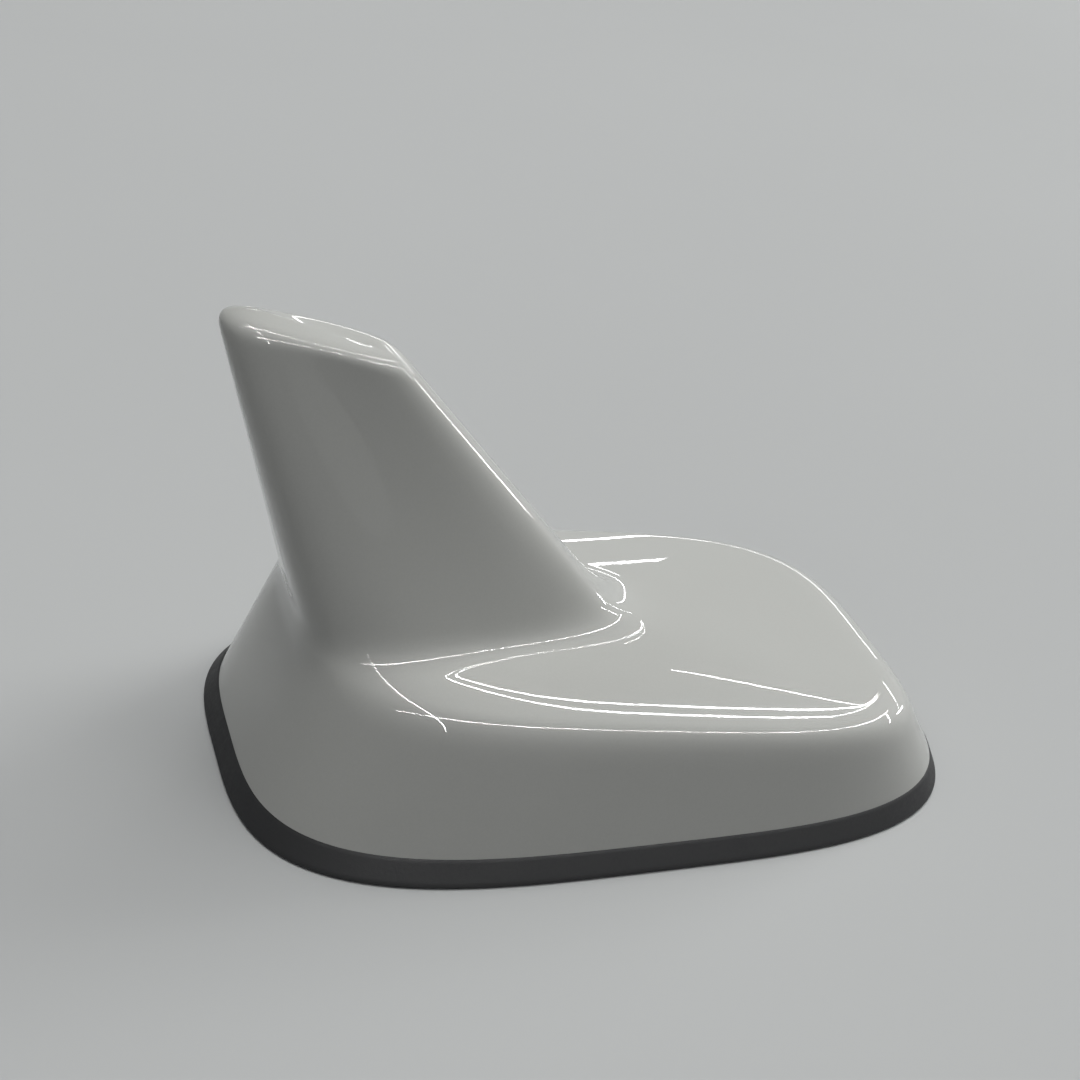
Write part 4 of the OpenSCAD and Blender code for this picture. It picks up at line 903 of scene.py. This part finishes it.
# matt and faintly clouded from above; clear from below, so that the underside shows
def floorMaterial():
    material = bpy.data.materials.new("matt pale floor")
    material.use_nodes = True
    tree = material.node_tree
    tree.nodes.clear()
    coords = addNode(tree, "ShaderNodeTexCoord").outputs["Object"]
    cloud = addNode(tree, "ShaderNodeTexNoise",
                    {"Vector": coords, "Scale": perSize(stage["cloud"]), "Detail": 3.0})
    tone = addNode(tree, "ShaderNodeMapRange", {0: cloud, 1: 0.3, 2: 0.7, 3: stage["cloudDim"], 4: 1.0})
    plain = addNode(tree, "ShaderNodeMix", {
        0: shownRays(tree), 6: hexColor(stage["bounce"]), 7: hexColor(stage["floor"])}, data_type="RGBA")
    toned = addNode(tree, "ShaderNodeVectorMath", {0: plain.outputs[2], "Scale": tone},
                    operation="SCALE")
    matt = addNode(tree, "ShaderNodeBsdfDiffuse", {"Color": toned})
    clear = addNode(tree, "ShaderNodeBsdfTransparent")
    side = addNode(tree, "ShaderNodeNewGeometry").outputs["Backfacing"]
    mixed = addNode(tree, "ShaderNodeMixShader", {0: side, 1: matt, 2: clear})
    addNode(tree, "ShaderNodeOutputMaterial", {"Surface": mixed})
    return material


# a square with an oval opening under the gasket, so that light reaches the underside
def floorPlane():
    steps, outline = stage["openingSteps"], cover["foot"]
    half = stage["floorSize"] / 2
    margin = gasket["out"] - stage["openingInset"]
    reaches = [(reach + margin) * mm for reach in (outline["ends"][0], outline["halfWidth"])]
    inner, outer = [], []
    for step in range(steps):
        sides = math.cos(math.tau * step / steps), math.sin(math.tau * step / steps)
        inner.append([math.copysign(abs(side) ** (2 / outline["squareness"][0]), side) * reach
                      for side, reach in zip(sides, reaches)] + [0])
        outer.append([side * half / max(map(abs, sides)) for side in sides] + [0])
    faces = [(steps + step, steps + (step + 1) % steps, (step + 1) % steps, step)
             for step in range(steps)]
    mesh = bpy.data.meshes.new("floor")
    mesh.from_pydata(inner + outer, [], faces)
    mesh.materials.append(floorMaterial())
    floor = bpy.data.objects.new("floor", mesh)
    scene.collection.objects.link(floor)


# a rectangle lamp of a length and width in metres; its turn comes as a quaternion
def areaLamp(name, place, turned, length, width, power):
    data = bpy.data.lights.new(name, "AREA")
    data.shape = "RECTANGLE"
    data.size, data.size_y = length, width
    data.energy = power
    lamp = bpy.data.objects.new(name, data)
    lamp.matrix_world = Matrix.Translation(place) @ turned.to_matrix().to_4x4()
    lamp.visible_camera = False
    scene.collection.objects.link(lamp)
    return lamp


# a square lamp that faces the part and leaves no reflection of its own
def addSoftLamp(name, place, size, power):
    turned = (-Vector(place)).to_track_quat("-Z", "Y")
    areaLamp(name, Vector(place), turned, size, size, power).visible_glossy = False


# a narrow lamp from one end to the other that shows in reflections only
def addTube(name, start, end, width, radiance):
    start, end = Vector(start), Vector(end)
    length = (end - start).length
    lengthwise = (end - start).normalized()
    across = (start + end).normalized().cross(lengthwise).normalized()
    turned = Matrix((lengthwise, across, lengthwise.cross(across))).transposed().to_quaternion()
    power = radiance * math.pi * length * width
    areaLamp(name, (start + end) / 2, turned, length, width, power).visible_diffuse = False


def studioWorld():
    world = bpy.data.worlds.new("studio")
    world.use_nodes = True
    tree = world.node_tree
    tree.nodes.clear()
    ambient = addNode(tree, "ShaderNodeBackground",
                      {"Color": hexColor(stage["skyTint"]), "Strength": stage["ambient"]})
    backdrop = addNode(tree, "ShaderNodeBackground",
                       {"Color": hexColor(stage["backdrop"]), "Strength": 1.0})
    mixed = addNode(tree, "ShaderNodeMixShader", {0: shownRays(tree), 1: ambient, 2: backdrop})
    addNode(tree, "ShaderNodeOutputWorld", {"Surface": mixed})
    return world


floorPlane()
for name, values in softLamps.items():
    addSoftLamp(name, *values)
for name, values in tubes.items():
    addTube(name, *values)
scene.world = studioWorld()
scene.view_settings.view_transform = "Standard"
print("stage set")
